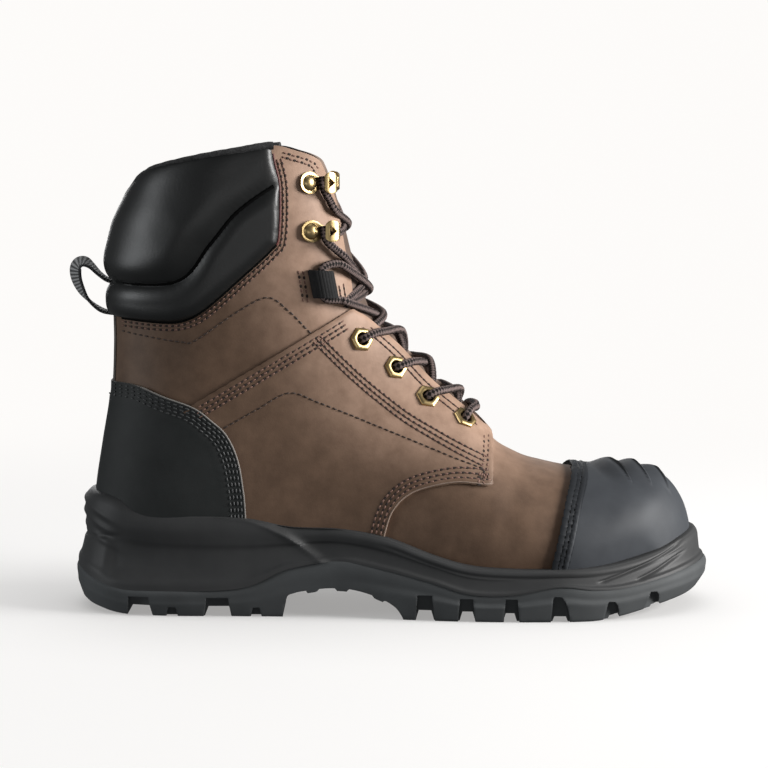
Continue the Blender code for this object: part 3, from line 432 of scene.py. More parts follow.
def sole_grid(name, levels_count, shape):
    """A grid bent round the sole's outline; shape gives each vertex from its station and level."""
    piece, u, v = sheet_grid(name, SOLE_STATIONS, levels_count)
    station = np.rint(u * SOLE_STATIONS).astype(int) % SOLE_STATIONS
    level = np.rint(v * levels_count).astype(int)
    move_vertices(piece, shape(station, level))
    bpy.ops.object.mode_set(mode="EDIT")
    bpy.ops.mesh.select_all(action="SELECT")
    bpy.ops.mesh.remove_doubles(threshold=0.02 * MM)
    bpy.ops.mesh.delete_loose()
    bpy.ops.mesh.select_all(action="SELECT")
    bpy.ops.mesh.dissolve_degenerate(threshold=0.002 * MM)
    bpy.ops.mesh.normals_make_consistent(inside=False)
    bpy.ops.object.mode_set(mode="OBJECT")
    face_out(piece)
    return piece


def spine(station):
    """The sole's middle line, where the rings of its flat faces close."""
    x = np.clip(np.round(sole_ring[station, 0] / 5.0) * 5.0, -135.0, 140.0)
    return np.stack([x, np.interp(x, (-138.0, 60.0, 140.0), (0.0, -1.0, 3.0))], axis=1)


OUTSOLE_STEPS = 22


def outsole_shape(station, level):
    ring = sole_ring[station]
    x = ring[:, 0]
    tread = sole_height(x, 1)
    parting = sole_height(x, 2)
    share = np.clip((level - 1.0) / (OUTSOLE_STEPS - 2.0), 0.0, 1.0)
    inset = sole_inset(OUTSOLE_LEVELS, x, share)
    flat = ring + ring_out[station] * inset[:, None]
    z = tread + (parting - tread) * share
    closing = (level == 0) | (level == OUTSOLE_STEPS)
    middle = spine(station)
    flat = np.where(closing[:, None], middle, flat)
    z_closing = np.where(level == 0, sole_height(middle[:, 0], 1), sole_height(middle[:, 0], 2))
    z = np.where(closing, z_closing, z)
    return np.column_stack([flat, z])


def prism(name, outline, near, far):
    """A straight cutter with a side-view outline, from y near to y far."""
    mesh = bmesh.new()
    rings = []
    for y in (near, far):
        rings.append([mesh.verts.new((x * MM, y * MM, z * MM)) for x, z in outline])
    count = len(outline)
    mesh.faces.new(rings[0])
    mesh.faces.new(rings[1][::-1])
    for step in range(count):
        after = (step + 1) % count
        mesh.faces.new((rings[0][step], rings[1][step], rings[1][after], rings[0][after]))
    bmesh.ops.recalc_face_normals(mesh, faces=mesh.faces)
    data = bpy.data.meshes.new(name)
    mesh.to_mesh(data)
    mesh.free()
    cutter = bpy.data.objects.new(name, data)
    bpy.context.scene.collection.objects.link(cutter)
    return cutter


def cut(piece, cutter):
    apply_modifier(piece, "BOOLEAN", operation="DIFFERENCE", solver="MANIFOLD", object=cutter)
    data = cutter.data
    bpy.data.objects.remove(cutter)
    bpy.data.meshes.remove(data)


rubber = hide(
    "sole_rubber", (0.050, 0.0535, 0.0555), (0.067, 0.0715, 0.074), 0.7, 0.7, 0.05, 30.0, specular=0.25,
)
outsole = sole_grid("outsole_tread", OUTSOLE_STEPS, outsole_shape)
for low, high, deep, _ in LUG_GAPS:
    floor_z = sole_height(np.array([low, high]), 1)
    roof = [(low + LUG_TAPER, floor_z[0] + deep), (high - LUG_TAPER, floor_z[1] + deep)]
    mouth = [(low - 0.6, floor_z[0] - 3.0), (high + 0.6, floor_z[1] - 3.0)]
    cut(outsole, prism("gap", mouth + roof[::-1], -70, 70))


def pocket(low, high, tall, side):
    """A cutter that sets the wall back between two lugs, square to the sole's edge."""
    middle = (low + high) / 2.0
    inside = np.sign(sole_ring[:, 1]) == side
    station = np.argmin(np.where(inside, np.abs(sole_ring[:, 0] - middle), 1e9))
    spot = sole_ring[station]
    out = ring_out[station]
    along = np.array((-out[1], out[0]))
    along *= np.sign(along[0])
    wide = (high - low) / 2.0 / abs(along[0])
    floor_z = float(sole_height(np.array([middle]), 1)[0])
    cutter = prism("pocket", POCKET_ARCH if middle > 70.0 else POCKET_SQUARE, 0.0, 1.0)
    corners = np.array([vertex.co[:] for vertex in cutter.data.vertices]) / MM
    deep = -POCKET_DEEP - 1.4 * (1.0 - corners[:, 2]) + (POCKET_DEEP + 14.0) * corners[:, 1]
    swing = (corners[:, 0] - 0.5) * 2.0 * (wide * (1.06 - 0.3 * corners[:, 2]) + 0.5 * corners[:, 1])
    flat = spot + np.outer(deep, out) + np.outer(swing, along)
    move_vertices(cutter, np.column_stack([flat, floor_z - 3.0 + (tall + 3.0) * corners[:, 2]]))
    face_out(cutter)
    return cutter


for low, high, _, tall in LUG_GAPS:
    for side in (-1.0, 1.0):
        cut(outsole, pocket(low, high, tall, side))
arch_line = curve(ARCH_LINE, 10)
for low, high in ARCH_RIBS:
    rib = ease(arch_line[:, 0], low - 0.4, low) * (1.0 - ease(arch_line[:, 0], high, high + 0.4))
    arch_line[:, 1] -= 1.3 * rib
cut(outsole, prism("arch", [tuple(point) for point in arch_line], -70, 70))
for low, high in NOTCHES:
    for near, far in ((-60.0, -36.0), (36.0, 60.0)):
        notch = [(low, -2.0), (high, -2.0), (high - 1.4, 4.6), (low + 1.4, 4.6)]
        cut(outsole, prism("notch", notch, near, far))
cut(outsole, prism("channel", [(-128.0, -2.0), (122.0, -2.0), (122.0, 4.5), (-128.0, 4.5)], -5.0, 5.0))
apply_modifier(
    outsole, "BEVEL", width=0.55 * MM, segments=2, limit_method="ANGLE", angle_limit=math.radians(42),
)
outsole.data.materials.clear()
outsole.data.materials.append(rubber)
finish_mesh(outsole, 38)
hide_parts("outsole")

# Midsole
# Black rubber cup, moulded and glued to outsole and upper: a heel wing with a scoop and ripples,
# grooves on both sides of the toe and a rolled rim.
MIDSOLE_LEVELS = [
    (0.0, -0.6, -0.8, -0.5, -1.6), (0.10, -0.9, -1.2, -0.6, -2.0), (0.20, -2.6, -2.8, -1.8, -3.4),
    (0.50, -5.0, -3.4, -2.4, -4.0), (0.62, -4.7, -2.4, -2.2, -4.2), (0.80, -4.4, -1.8, -2.0, -4.6),
    (0.92, -5.4, -2.4, -2.8, -5.6), (1.0, -8.6, -4.4, -4.8, -7.6), (1.02, -16.0, -14.0, -15.0, -16.0),
]
WING_LINE = [
    (-131.0, 56.5), (-100.0, 51.0), (-67.5, 47.4), (-58.0, 44.2), (-49.0, 40.0), (-38.0, 32.4), (-29.0, 26.0),
]
TOE_GROOVES = [
    [(101.0, 18.6), (113.0, 22.0), (126.0, 26.2), (139.0, 31.0), (147.5, 35.2)],
    [(120.5, 18.8), (130.0, 22.4), (140.0, 27.0), (150.0, 31.0)],
]
RIPPLES = [(-147.0, 50.0), (-148.5, 44.5), (-150.0, 39.0)]
SCOOP = (-140.0, -133.0, -122.0, -74.0)
MIDSOLE_STEPS = 66
MIDSOLE_WALL = 60


def bell(distance, width):
    return np.exp(-(distance / width) ** 2)


def reach(line, x, z):
    """Distance from each place to a line in the side view."""
    best = np.full(np.shape(x), 1e9)
    for (ax, az), (bx, bz) in zip(line[:-1], line[1:]):
        dx, dz = bx - ax, bz - az
        size = max(dx * dx + dz * dz, 1e-9)
        share = np.clip(((x - ax) * dx + (z - az) * dz) / size, 0.0, 1.0)
        best = np.minimum(best, np.hypot(x - ax - share * dx, z - az - share * dz))
    return best


def midsole_shape(station, level):
    ring = sole_ring[station]
    x = ring[:, 0]
    parting = sole_height(x, 2)
    rim = sole_height(x, 3)
    share = np.clip((level - 1.0) / (MIDSOLE_WALL - 1.0), 0.0, 1.0) * 1.02
    z = parting + (rim - parting) * np.minimum(share, 1.0)
    inset = sole_inset(MIDSOLE_LEVELS, x, share)
    low = np.where(share < 0.97, 1.0, 0.0)
    wing = np.array(WING_LINE)
    wing_z = np.interp(x, wing[:, 0], wing[:, 1])
    on_wing = ease(x, -105.0, -72.0) * (1.0 - ease(x, -34.0, -14.0))
    inset += on_wing * (1.4 - 2.6 * ease(z - wing_z, -1.4, 1.6)) * low
    inset += 1.0 * bell(reach(wing, x, z), 1.8) * on_wing * low
    front = ease(x, -8.0, 6.0)
    for groove in TOE_GROOVES:
        inset -= 1.1 * bell(reach(curve(groove, 6), x, z), 0.75) * (1.0 - ease(x, 138.0, 149.0)) * low
    inset -= 0.4 * bell(z - (rim - 4.2), 0.9) * front * (1.0 - ease(x, 138.0, 149.0)) * low
    for spot in RIPPLES:
        fall = spot[1] - 0.45 * (x - spot[0])
        inset += 0.9 * bell(z - fall, 1.7) * (1.0 - ease(x, -144.0, -126.0)) * low
    scoop = ease(x, SCOOP[0], SCOOP[1]) * (1.0 - ease(x, SCOOP[2], SCOOP[3]))
    inset -= 2.6 * scoop * ease(z, 15.0, 24.0) * (1.0 - ease(z, 25.0, 43.0)) * low
    crease_z = np.interp(x, (-152.0, -120.0), (35.5, 39.0))
    inset -= 0.7 * bell(z - crease_z, 1.1) * (1.0 - ease(x, -142.0, -124.0)) * low
    flat = ring + ring_out[station] * inset[:, None]
    middle = spine(station)
    deck = np.interp(x, LAST[9:, 2], LAST[9:, 3]) - 1.2
    inner = ring - ring_out[station] * 18.0
    over = level > MIDSOLE_WALL
    flat = np.where(over[:, None], inner, flat)
    drop = np.clip((level - MIDSOLE_WALL) / (MIDSOLE_STEPS - 1.0 - MIDSOLE_WALL), 0.0, 1.0)
    z = np.where(over, rim + (np.minimum(deck, rim - 1.0) - rim) * drop, z)
    closing = (level == 0) | (level == MIDSOLE_STEPS)
    flat = np.where(closing[:, None], middle, flat)
    z = np.where(level == 0, sole_height(middle[:, 0], 2), z)
    deck_middle = np.interp(middle[:, 0], LAST[9:, 2], LAST[9:, 3]) - 1.2
    z = np.where(level == MIDSOLE_STEPS, deck_middle, z)
    return np.column_stack([flat, z])


midsole = sole_grid("midsole_cup", MIDSOLE_STEPS, midsole_shape)
midsole_rubber = hide(
    "midsole_rubber", (0.0272, 0.0279, 0.0286), (0.0388, 0.0396, 0.0404), 0.56, 0.8, 0.05, 34.0,
    specular=0.32,
)
midsole.data.materials.append(midsole_rubber)
finish_mesh(midsole, 50)
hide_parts("midsole")

# Insole
# Flat footbed of black cloth over foam, cut to the inside of the upper and lying loose in it.
# The part's own solid shows.
insole_cloth = hide(
    "insole_cloth", (0.02, 0.02, 0.021), (0.035, 0.035, 0.036), 0.85, 1.2, 0.12, 12.0, sheen=0.2,
)
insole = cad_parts["insole"]
insole.data.materials.clear()
insole.data.materials.append(insole_cloth)

# Upper
# Oiled brown leather, one wall of vamp, shaft panel and facings drawn over the last and lined with
# black cloth; it is cut open at the top line, at the throat and at the eyelets.
WALL = 2.2
GAP = 0.3
TOP_LINE = [
    (-129.0, 191.0), (-126.0, 195.6), (-121.5, 203.0), (-115.0, 209.4), (-107.5, 213.3), (-90.7, 217.6),
    (-71.5, 221.2), (-54.7, 223.8), (-43.4, 221.3), (-37.0, 219.2), (-33.0, 216.6), (-30.8, 212.4),
]
FACING_LINE = [
    (-30.8, 212.4), (-25.8, 198.6), (-21.5, 176.7), (-17.6, 154.7), (-18.6, 146.0), (-12.5, 141.5),
    (-6.8, 136.7), (5.4, 125.5), (19.5, 110.4), (36.1, 96.7), (47.5, 86.0), (53.0, 80.4),
]
OPENING = np.vstack([
    [(-200.0, 190.0)], curve(TOP_LINE, 8), curve(FACING_LINE, 8)[1:],
    [(56.0, 82.0), (120.0, 300.0), (-200.0, 300.0)],
])
CREASES = [
    # line in the side view, width, depth
    ([(-20.0, 128.0), (-48.0, 118.0), (-82.0, 116.0)], 7.0, 0.5),
    ([(66.0, 70.0), (58.0, 55.0), (56.0, 38.0)], 6.0, 0.5),
    ([(-104.0, 128.0), (-100.0, 118.0), (-98.0, 108.0)], 6.0, 0.35),
]
EYELETS = [(-14.0, 131.2), (2.4, 117.2), (17.9, 102.7), (35.7, 92.1)]
BROWN_DARK = (0.165, 0.098, 0.061)
BROWN_LIGHT = (0.236, 0.146, 0.095)
# Painted light and shade on the brown: a dim tint low and behind, a bright, bluer tint high on the throat and
# facings where the key light falls.
PAINTED_SHADE_TINT = (0.53, 0.505, 0.475)
PAINTED_LIGHT_TINT = (1.53, 1.61, 1.77)
brown = hide(
    "brown_leather", BROWN_DARK, BROWN_LIGHT, 0.6, 0.9, 0.10, 9.0, sheen=0.05, specular=0.32,
)
brown_nodes = brown.node_tree.nodes
brown_links = brown.node_tree.links
brown_shader = brown_nodes["Principled BSDF"]
brown_tones = brown_shader.inputs["Base Color"].links[0].from_socket
# Painted light mask: rises towards the throat and upward in the leather's own coordinates, and mixes the
# painted shade and light tints.
brown_place = node_of(brown, "ShaderNodeTexCoord")
to_throat = node_of(brown, "ShaderNodeVectorMath", operation="DOT_PRODUCT")
to_throat.inputs[1].default_value = (0.846, 0.0, 0.538)
brown_links.new(brown_place.outputs["Object"], to_throat.inputs[0])
heights = node_of(brown, "ShaderNodeSeparateXYZ")
brown_links.new(brown_place.outputs["Object"], heights.inputs[0])
painted_light_mask = node_of(brown, "ShaderNodeMath", operation="MULTIPLY")
for step, (socket, low, high) in enumerate(
    ((to_throat.outputs["Value"], 0.005, 0.062), (heights.outputs["Z"], 0.055, 0.095))
):
    fade = node_of(brown, "ShaderNodeMapRange", interpolation_type="SMOOTHSTEP")
    fade.inputs["From Min"].default_value = low
    fade.inputs["From Max"].default_value = high
    brown_links.new(socket, fade.inputs["Value"])
    brown_links.new(fade.outputs["Result"], painted_light_mask.inputs[step])
painted_light_mix = node_of(brown, "ShaderNodeMix", data_type="RGBA")
painted_light_mix.inputs[6].default_value = (*PAINTED_SHADE_TINT, 1.0)
painted_light_mix.inputs[7].default_value = (*PAINTED_LIGHT_TINT, 1.0)
brown_links.new(painted_light_mask.outputs["Value"], painted_light_mix.inputs[0])
painted_light_tones = node_of(brown, "ShaderNodeVectorMath", operation="MULTIPLY")
brown_links.new(brown_tones, painted_light_tones.inputs[0])
brown_links.new(painted_light_mix.outputs[2], painted_light_tones.inputs[1])
brown_links.new(painted_light_tones.outputs["Vector"], brown_shader.inputs["Base Color"])
raw_edge = hide("raw_edge", (0.20, 0.145, 0.11), (0.28, 0.20, 0.16), 0.8, 0.6, 0.05, 6.0)
lining = hide("lining_cloth", (0.010, 0.010, 0.011), (0.02, 0.02, 0.021), 0.9, 0.9, 0.1, 8.0, sheen=0.2)


def depth(outline, x, z):
    """Distance inside a closed side-view outline, negative outside it."""
    inside = np.zeros(np.shape(x), bool)
    for (ax, az), (bx, bz) in zip(outline, np.roll(outline, -1, axis=0)):
        if az == bz:
            continue
        crosses = ((az > z) != (bz > z)) & (x < (bx - ax) * (z - az) / (bz - az) + ax)
        inside ^= crosses
    closed = np.vstack([outline, outline[:1]])
    return np.where(inside, 1.0, -1.0) * reach(closed, x, z)


def cut_patch(piece, row, column, wanted, lift, cell):
    """Moves a grid onto the last, fits its edge to an outline and removes what lies outside."""
    def inside(r, c):
        spot = skin(r, c)
        return wanted(spot[:, 0], spot[:, 2], spot[:, 1])
    row = row.copy()
    column = column.copy()

    def slopes(r, c):
        to_row = (skin(r + 0.01, c) - skin(r - 0.01, c)) / 0.02
        to_column = (skin(r, c + 0.1) - skin(r, c - 0.1)) / 0.2
        by_row = (inside(r + 0.01, c) - inside(r - 0.01, c)) / 0.02
        by_column = (inside(r, c + 0.1) - inside(r, c - 0.1)) / 0.2
        return to_row, to_column, by_row, by_column
    state = inside(row, column)
    _, _, by_row, by_column = slopes(row, column)
    near = np.abs(state) < 0.52 * np.maximum(np.abs(by_row) * cell[0], np.abs(by_column) * cell[1])
    for _ in range(6):
        gap = inside(row[near], column[near])
        to_row, to_column, by_row, by_column = slopes(row[near], column[near])
        a = (to_row ** 2).sum(axis=1)
        b = (to_row * to_column).sum(axis=1)
        c = (to_column ** 2).sum(axis=1)
        area = np.maximum(a * c - b * b, 1e-9)
        move_row = (c * by_row - b * by_column) / area
        move_column = (a * by_column - b * by_row) / area
        size = np.maximum(by_row * move_row + by_column * move_column, 0.04)
        row[near] -= gap * move_row / size
        column[near] -= gap * move_column / size
    kind = np.where(near, 0, np.where(state > 0.0, 1, -1))
    spot = skin(row, column)
    move_vertices(piece, skin(row, column, lift(row, column, spot)))
    mesh = bmesh.new()
    mesh.from_mesh(piece.data)
    mesh.verts.ensure_lookup_table()
    for face in list(mesh.faces):
        corners = list(face.verts)
        kinds = [kind[corner.index] for corner in corners]
        if len(corners) == 4 and min(kinds) < 0 < max(kinds):
            zero = [step for step in range(4) if kinds[step] == 0]
            if len(zero) == 2 and (zero[1] - zero[0]) == 2:
                bmesh.utils.face_split(face, corners[zero[0]], corners[zero[1]])
    mesh.verts.index_update()
    gone = [face for face in mesh.faces if min(kind[corner.index] for corner in face.verts) < 0]
    bmesh.ops.delete(mesh, geom=gone, context="FACES")
    loose = [vertex for vertex in mesh.verts if not vertex.link_faces]
    bmesh.ops.delete(mesh, geom=loose, context="VERTS")
    bmesh.ops.remove_doubles(mesh, verts=mesh.verts, dist=0.03 * MM)
    mesh.normal_update()
    mesh.to_mesh(piece.data)
    mesh.free()
    piece.data.update()
    return row, column


def outward(piece, side_point):
    """Flips an open patch whose faces look towards the inside of the boot."""
    face = min(piece.data.polygons, key=lambda p: (p.center - Vector(side_point) * MM).length)
    spot = np.array(face.center) / MM
    near = np.argmin(((SKIN - spot) ** 2).sum(axis=2))
    i, j = np.unravel_index(near, SKIN.shape[:2])
    if np.dot(np.array(face.normal), SKIN_OUT[i, j]) < 0.0:
        flip(piece)


def creased(x, z):
    fall = np.zeros(np.shape(x))
    for line, width, deep in CREASES:
        fall -= deep * bell(reach(curve(line, 6), x, z), width)
    return fall


def patch(name, rows, columns, cells, wanted, lift, thick, offset, materials):
    """A leather piece: a grid laid on the last, trimmed to its outline and given its thickness.
    Its materials are those of the face, the back and the cut edge."""
    piece, u, v = sheet_grid(name, cells[1], cells[0])
    row = rows[0] + (rows[1] - rows[0]) * v
    column = columns[0] + (columns[1] - columns[0]) * u
    cell = (rows[1] - rows[0]) / cells[0], abs(columns[1] - columns[0]) / cells[1]
    cut_patch(piece, row, column, wanted, lift, cell)
    outward(piece, piece.data.vertices[len(piece.data.vertices) // 2].co / MM)
    for material in materials:
        piece.data.materials.append(material)
    apply_modifier(
        piece, "SOLIDIFY", thickness=thick * MM, offset=offset, use_even_offset=False,
        material_offset=1, material_offset_rim=2,
    )
    return piece


def round_holes(x, z, radius):
    """Distance to the nearest of the round eyelet holes, negative inside one."""
    return np.min([np.hypot(x - ex, z - ez) - radius for ex, ez in EYELETS], axis=0)


def underneath(x, z, y):
    """Distance to the opening that the sole closes, negative inside it."""
    low = np.interp(x, LAST[9:, 2], LAST[9:, 3])
    half = np.interp(x, LAST[9:, 2], LAST[9:, 7])
    swing = np.interp(x, LAST[9:, 2], LAST[9:, 6])
    return np.maximum(np.abs(y - swing) - half + 8.0, z - low - 2.0)


def upper_wanted(x, z, y):
    above = np.minimum(-depth(OPENING, x, z), round_holes(x, z, 2.8))
    return np.minimum(above, underneath(x, z, y))


def upper_lift(row, column, spot):
    return creased(spot[:, 0], spot[:, 2])


upper = patch(
    "upper_wall", (0.3, 22.9), (0.0, LOOP), (190, 216), upper_wanted, upper_lift, WALL, -1.0,
    (brown, lining, raw_edge),
)
finish_mesh(upper, 40)
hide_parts("upper")

# Tongue
# Padded strip of brown leather under the throat, rounded at its free top end and sewn in at the vamp.
# Two quilted lines run down its face.
TONGUE_THICK = 4.5
TONGUE_HALF = (26.0, 24.0, 17.0, 14.0)
tongue, u, v = sheet_grid("tongue_pad", 60, 90)
across = (u - 0.5) * 2.0
tongue_row = 1.25 + (14.1 - 1.25) * v + 0.35 * across ** 4 * (1.0 - v)
tongue_column = TOP + across * np.interp(tongue_row, (0.7, 4.0, 9.0, 14.1), TONGUE_HALF)
edge = np.clip(np.minimum((1.0 - np.abs(across)) * 6.0, np.minimum(v * 22.0, 1.0)), 0.0, 1.0)
quilt = 0.5 * bell(np.abs(np.abs(across) - 0.5), 0.05)
tongue_lift = -WALL - GAP - 3.4 * (1.0 - np.sqrt(1.0 - (1.0 - edge) ** 2)) - quilt
tongue_lift += 3.0 * (1.0 - across ** 2) ** 2 * bell(tongue_row - 3.6, 1.6)
move_vertices(tongue, skin(tongue_row, tongue_column, tongue_lift))
outward(tongue, (-6.0, 0.0, 138.0))
apply_modifier(tongue, "SOLIDIFY", thickness=1.2 * MM, offset=-1.0, use_even_offset=False)
tongue_leather = hide("tongue_leather", (0.07, 0.045, 0.033), (0.12, 0.078, 0.057), 0.6, 1.0, 0.06, 16.0)
tongue.data.materials.append(tongue_leather)
finish_mesh(tongue, 50)
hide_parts("tongue")

# Quarters
# Brown leather eyestay and quarter in one on each side, lapped over shaft panel and vamp.
# The edges are turned and sewn, and a hole is punched for each eyelet.
QUARTER_THICK = 1.5
QUARTER_TOP = [(-125.0, 81.7), (-90.8, 102.0), (-57.2, 122.0), (-24.2, 141.6), (-10.0, 150.0)]
QUARTER_FRONT = [
    (48.3, 65.2), (46.8, 63.0), (32.0, 64.5), (16.7, 61.8), (7.6, 57.5), (1.4, 50.4), (-1.9, 40.6),
    (-3.4, 32.0),
]
QUARTER = np.vstack([
    QUARTER_TOP, [(-5.0, 175.0), (60.0, 140.0), (49.3, 90.0), (49.1, 84.0)], curve(QUARTER_FRONT, 8),
    [(-4.4, 10.0), (-125.0, 10.0)],
])
COUNTER_EDGE = [
    (-170.0, 110.6), (-136.0, 110.3), (-121.4, 109.8), (-106.9, 104.5), (-93.0, 99.7), (-84.5, 93.4),
    (-77.6, 86.7), (-72.5, 75.6), (-69.8, 61.6), (-68.6, 49.6), (-68.2, 32.0),
]
COUNTER = np.vstack([curve(COUNTER_EDGE, 8), [(-68.0, 0.0), (-170.0, 0.0)]])


def quarter_wanted(x, z, y):
    under = 4.0 - depth(COUNTER, x, z)
    edge = np.minimum(depth(QUARTER, x, z), -depth(OPENING, x, z))
    return np.minimum(np.minimum(edge, under), round_holes(x, z, 3.0))


def quarter_lift(row, column, spot):
    near = np.minimum(depth(QUARTER, spot[:, 0], spot[:, 2]), -depth(OPENING, spot[:, 0], spot[:, 2]))
    fold = 0.35 * bell(near - 0.9, 0.9) - 0.35 * bell(near, 0.5)
    return GAP + creased(spot[:, 0], spot[:, 2]) + fold


for side, name, columns in ((-1, "outer", (STRIP, TOP)), (1, "inner", (LOOP - STRIP, TOP))):
    quarter = patch(
        "quarter_leather_" + name, (3.9, 15.4), columns, (170, 130), quarter_wanted, quarter_lift,
        QUARTER_THICK, 1.0, (brown, brown, raw_edge),
    )
    finish_mesh(quarter, 50)
    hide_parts("quarter_" + name)

# Heel counter
# Black coated leather cup, lapped over the quarters round the heel and sewn down with four rows.
# A shallow channel takes the rows.
COUNTER_THICK = 1.9


def counter_wanted(x, z, y):
    return np.minimum(depth(COUNTER, x, z), underneath(x, z, y))


def counter_lift(row, column, spot):
    near = depth(COUNTER, spot[:, 0], spot[:, 2])
    return GAP + 0.3 * bell(near - 8.6, 0.8) - 0.25 * bell(near - 4.4, 3.4)


counter_black = hide(
    "counter_leather", (0.0066, 0.0084, 0.0084), (0.012, 0.0142, 0.0142), 0.66, 0.8, 0.08, 14.0,
    specular=0.38,
)
counter_edge = hide("counter_edge", (0.15, 0.14, 0.13), (0.22, 0.205, 0.19), 0.8, 0.6, 0.05, 6.0)
counter = patch(
    "heel_counter_leather", (4.4, 12.6), (-92.0, 92.0), (110, 190), counter_wanted, counter_lift,
    COUNTER_THICK, 1.0, (counter_black, counter_black, counter_edge),
)
finish_mesh(counter, 50)
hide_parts("heel_counter")

# Toe cap
# Grey-black rubber bumper moulded over the toe, with three scalloped ridges on its top.
# The darker ribbed band along its rear edge is sewn to the vamp.
CAP_EDGE = [(94.0, 84.0), (90.2, 67.6), (85.0, 54.9), (81.0, 40.4), (77.4, 25.6), (75.0, 10.0)]
CAP_THICK = 2.3
CAP_RIDGES = [
    # crest, valley and tip along x, half width, height
    (107.6, 113.0, 116.5, 28.0, 3.2), (118.7, 123.0, 126.0, 24.0, 2.9), (129.8, 132.9, 135.4, 18.0, 2.3),
]
CAP_LINE = curve(CAP_EDGE, 8)
CAP = np.vstack([CAP_LINE, [(75.0, 0.0), (200.0, 0.0), (200.0, 120.0), (94.0, 120.0)]])


def cap_wanted(x, z, y):
    return depth(CAP, x, z)


def ridge(x, y, crest, valley, tip, half, high):
    """Height of a scalloped ridge and its front face: crest and valley lines meet at a tip on each side."""
    share = np.clip(np.abs(y - 2.4) / half, 0.0, 1.0)
    crest = crest + (tip - crest) * share ** 1.3
    valley = valley + (tip - valley) * share
    front = np.clip((x - crest) / np.maximum(valley - crest, 0.4), 0.0, 1.0)
    rear = 1.0 - ease(crest - x, 0.0, 11.0)
    face = ease(x, crest - 0.3, crest + 0.5) * (1.0 - ease(x, valley - 0.5, valley + 0.9)) * (share < 1.0)
    return high * (1.0 - share ** 2) * np.where(x < crest, rear, 1.0 - front), face


def cap_lift(row, column, spot):
    x, y, z = spot.T
    lift = np.full(len(x), GAP)
    for sizes in CAP_RIDGES:
        lift += ridge(x, y, *sizes)[0] * (z > 45.0)
    near = depth(CAP, x, z)
    for rib, groove in ((0.7, 1.75), (2.8, 3.85), (4.9, 6.0)):
        lift += 0.5 * bell(near - rib, 0.5) - 0.7 * bell(near - groove, 0.5) * (groove < 5.0)
    return lift


cap_rubber = hide(
    "cap_rubber", (0.031, 0.0345, 0.040), (0.043, 0.0475, 0.054), 0.6, 0.5, 0.04, 20.0, specular=0.28,
)
cap = patch(
    "toe_cap_rubber", (15.6, 22.95), (STRIP, LOOP - STRIP), (190, 240), cap_wanted, cap_lift,
    CAP_THICK, 1.0, (cap_rubber, cap_rubber, cap_rubber),
)
cap_places = np.empty(len(cap.data.vertices) * 3)
cap.data.vertices.foreach_get("co", cap_places)
cap_x, cap_y, cap_z = cap_places.reshape(-1, 3).T / MM
# Painted shade on the steep front face of each ridge, and the ribbed rear band's own darker tone, kept as a
# point attribute.
cap_shade_and_band_tone = np.ones(len(cap_x))
for sizes in CAP_RIDGES:
    cap_shade_and_band_tone -= 0.9 * ridge(cap_x, cap_y, *sizes)[1] * (cap_z > 48.0)
cap_shade_and_band_tone *= 1.0 - 0.5 * (1.0 - ease(depth(CAP, cap_x, cap_z), 5.8, 6.6))
shade_and_band_tone = cap.data.attributes.new("shade_and_band_tone", "FLOAT", "POINT")
shade_and_band_tone.data.foreach_set("value", cap_shade_and_band_tone)
cap_links = cap_rubber.node_tree.links
cap_shader = cap_rubber.node_tree.nodes["Principled BSDF"]
cap_tones = cap_shader.inputs["Base Color"].links[0].from_socket
# The cap's tones and specular are scaled by the painted ridge shade and the band's darker tone.
cap_dim = node_of(cap_rubber, "ShaderNodeVectorMath", operation="SCALE")
cap_attribute = node_of(cap_rubber, "ShaderNodeAttribute", attribute_name="shade_and_band_tone")
cap_links.new(cap_tones, cap_dim.inputs[0])
cap_links.new(cap_attribute.outputs["Fac"], cap_dim.inputs["Scale"])
cap_links.new(cap_dim.outputs["Vector"], cap_shader.inputs["Base Color"])
cap_shine = node_of(cap_rubber, "ShaderNodeMath", operation="MULTIPLY")
cap_shine.inputs[1].default_value = 0.28
cap_links.new(cap_attribute.outputs["Fac"], cap_shine.inputs[0])
cap_links.new(cap_shine.outputs["Value"], cap_shader.inputs["Specular IOR Level"])
finish_mesh(cap, 60)
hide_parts("toe_cap")

# Collar
# Soft black leather cuff over foam, sewn to the shaft along its edge and at the top.
# A groove sews it down into two rolls, which are fuller at the back.
COLLAR_EDGE = [
    (-170.0, 141.6), (-135.2, 142.0), (-110.0, 140.6), (-98.6, 141.2), (-88.0, 146.4), (-70.0, 162.0),
    (-56.0, 175.0), (-52.8, 181.0), (-52.3, 203.8), (-55.0, 218.0), (-57.0, 235.0),
]
COLLAR_GROOVE = [
    (-160.0, 159.0), (-140.0, 159.0), (-101.0, 159.5), (-84.4, 177.4), (-72.0, 192.3), (-54.7, 204.8),
    (-46.0, 208.0),
]
COLLAR_LINE = curve(COLLAR_EDGE, 8)
GROOVE_LINE = curve(COLLAR_GROOVE, 8)
COLLAR = np.vstack([COLLAR_LINE, [(-57.0, 300.0), (-170.0, 300.0)]])
TOP_CURVE = curve(TOP_LINE, 8)


def pillow(distance, radius):
    share = np.clip(distance / radius, 0.0, 1.0)
    return np.sqrt(1.0 - (1.0 - share) ** 2)


def roll(distance, radius):
    share = np.clip(distance / radius, 0.0, 1.0)
    return 0.55 * share * (2.0 - share) + 0.45 * pillow(distance, radius)


def collar_wanted(x, z, y):
    return np.minimum(depth(COLLAR, x, z), -depth(OPENING, x, z))


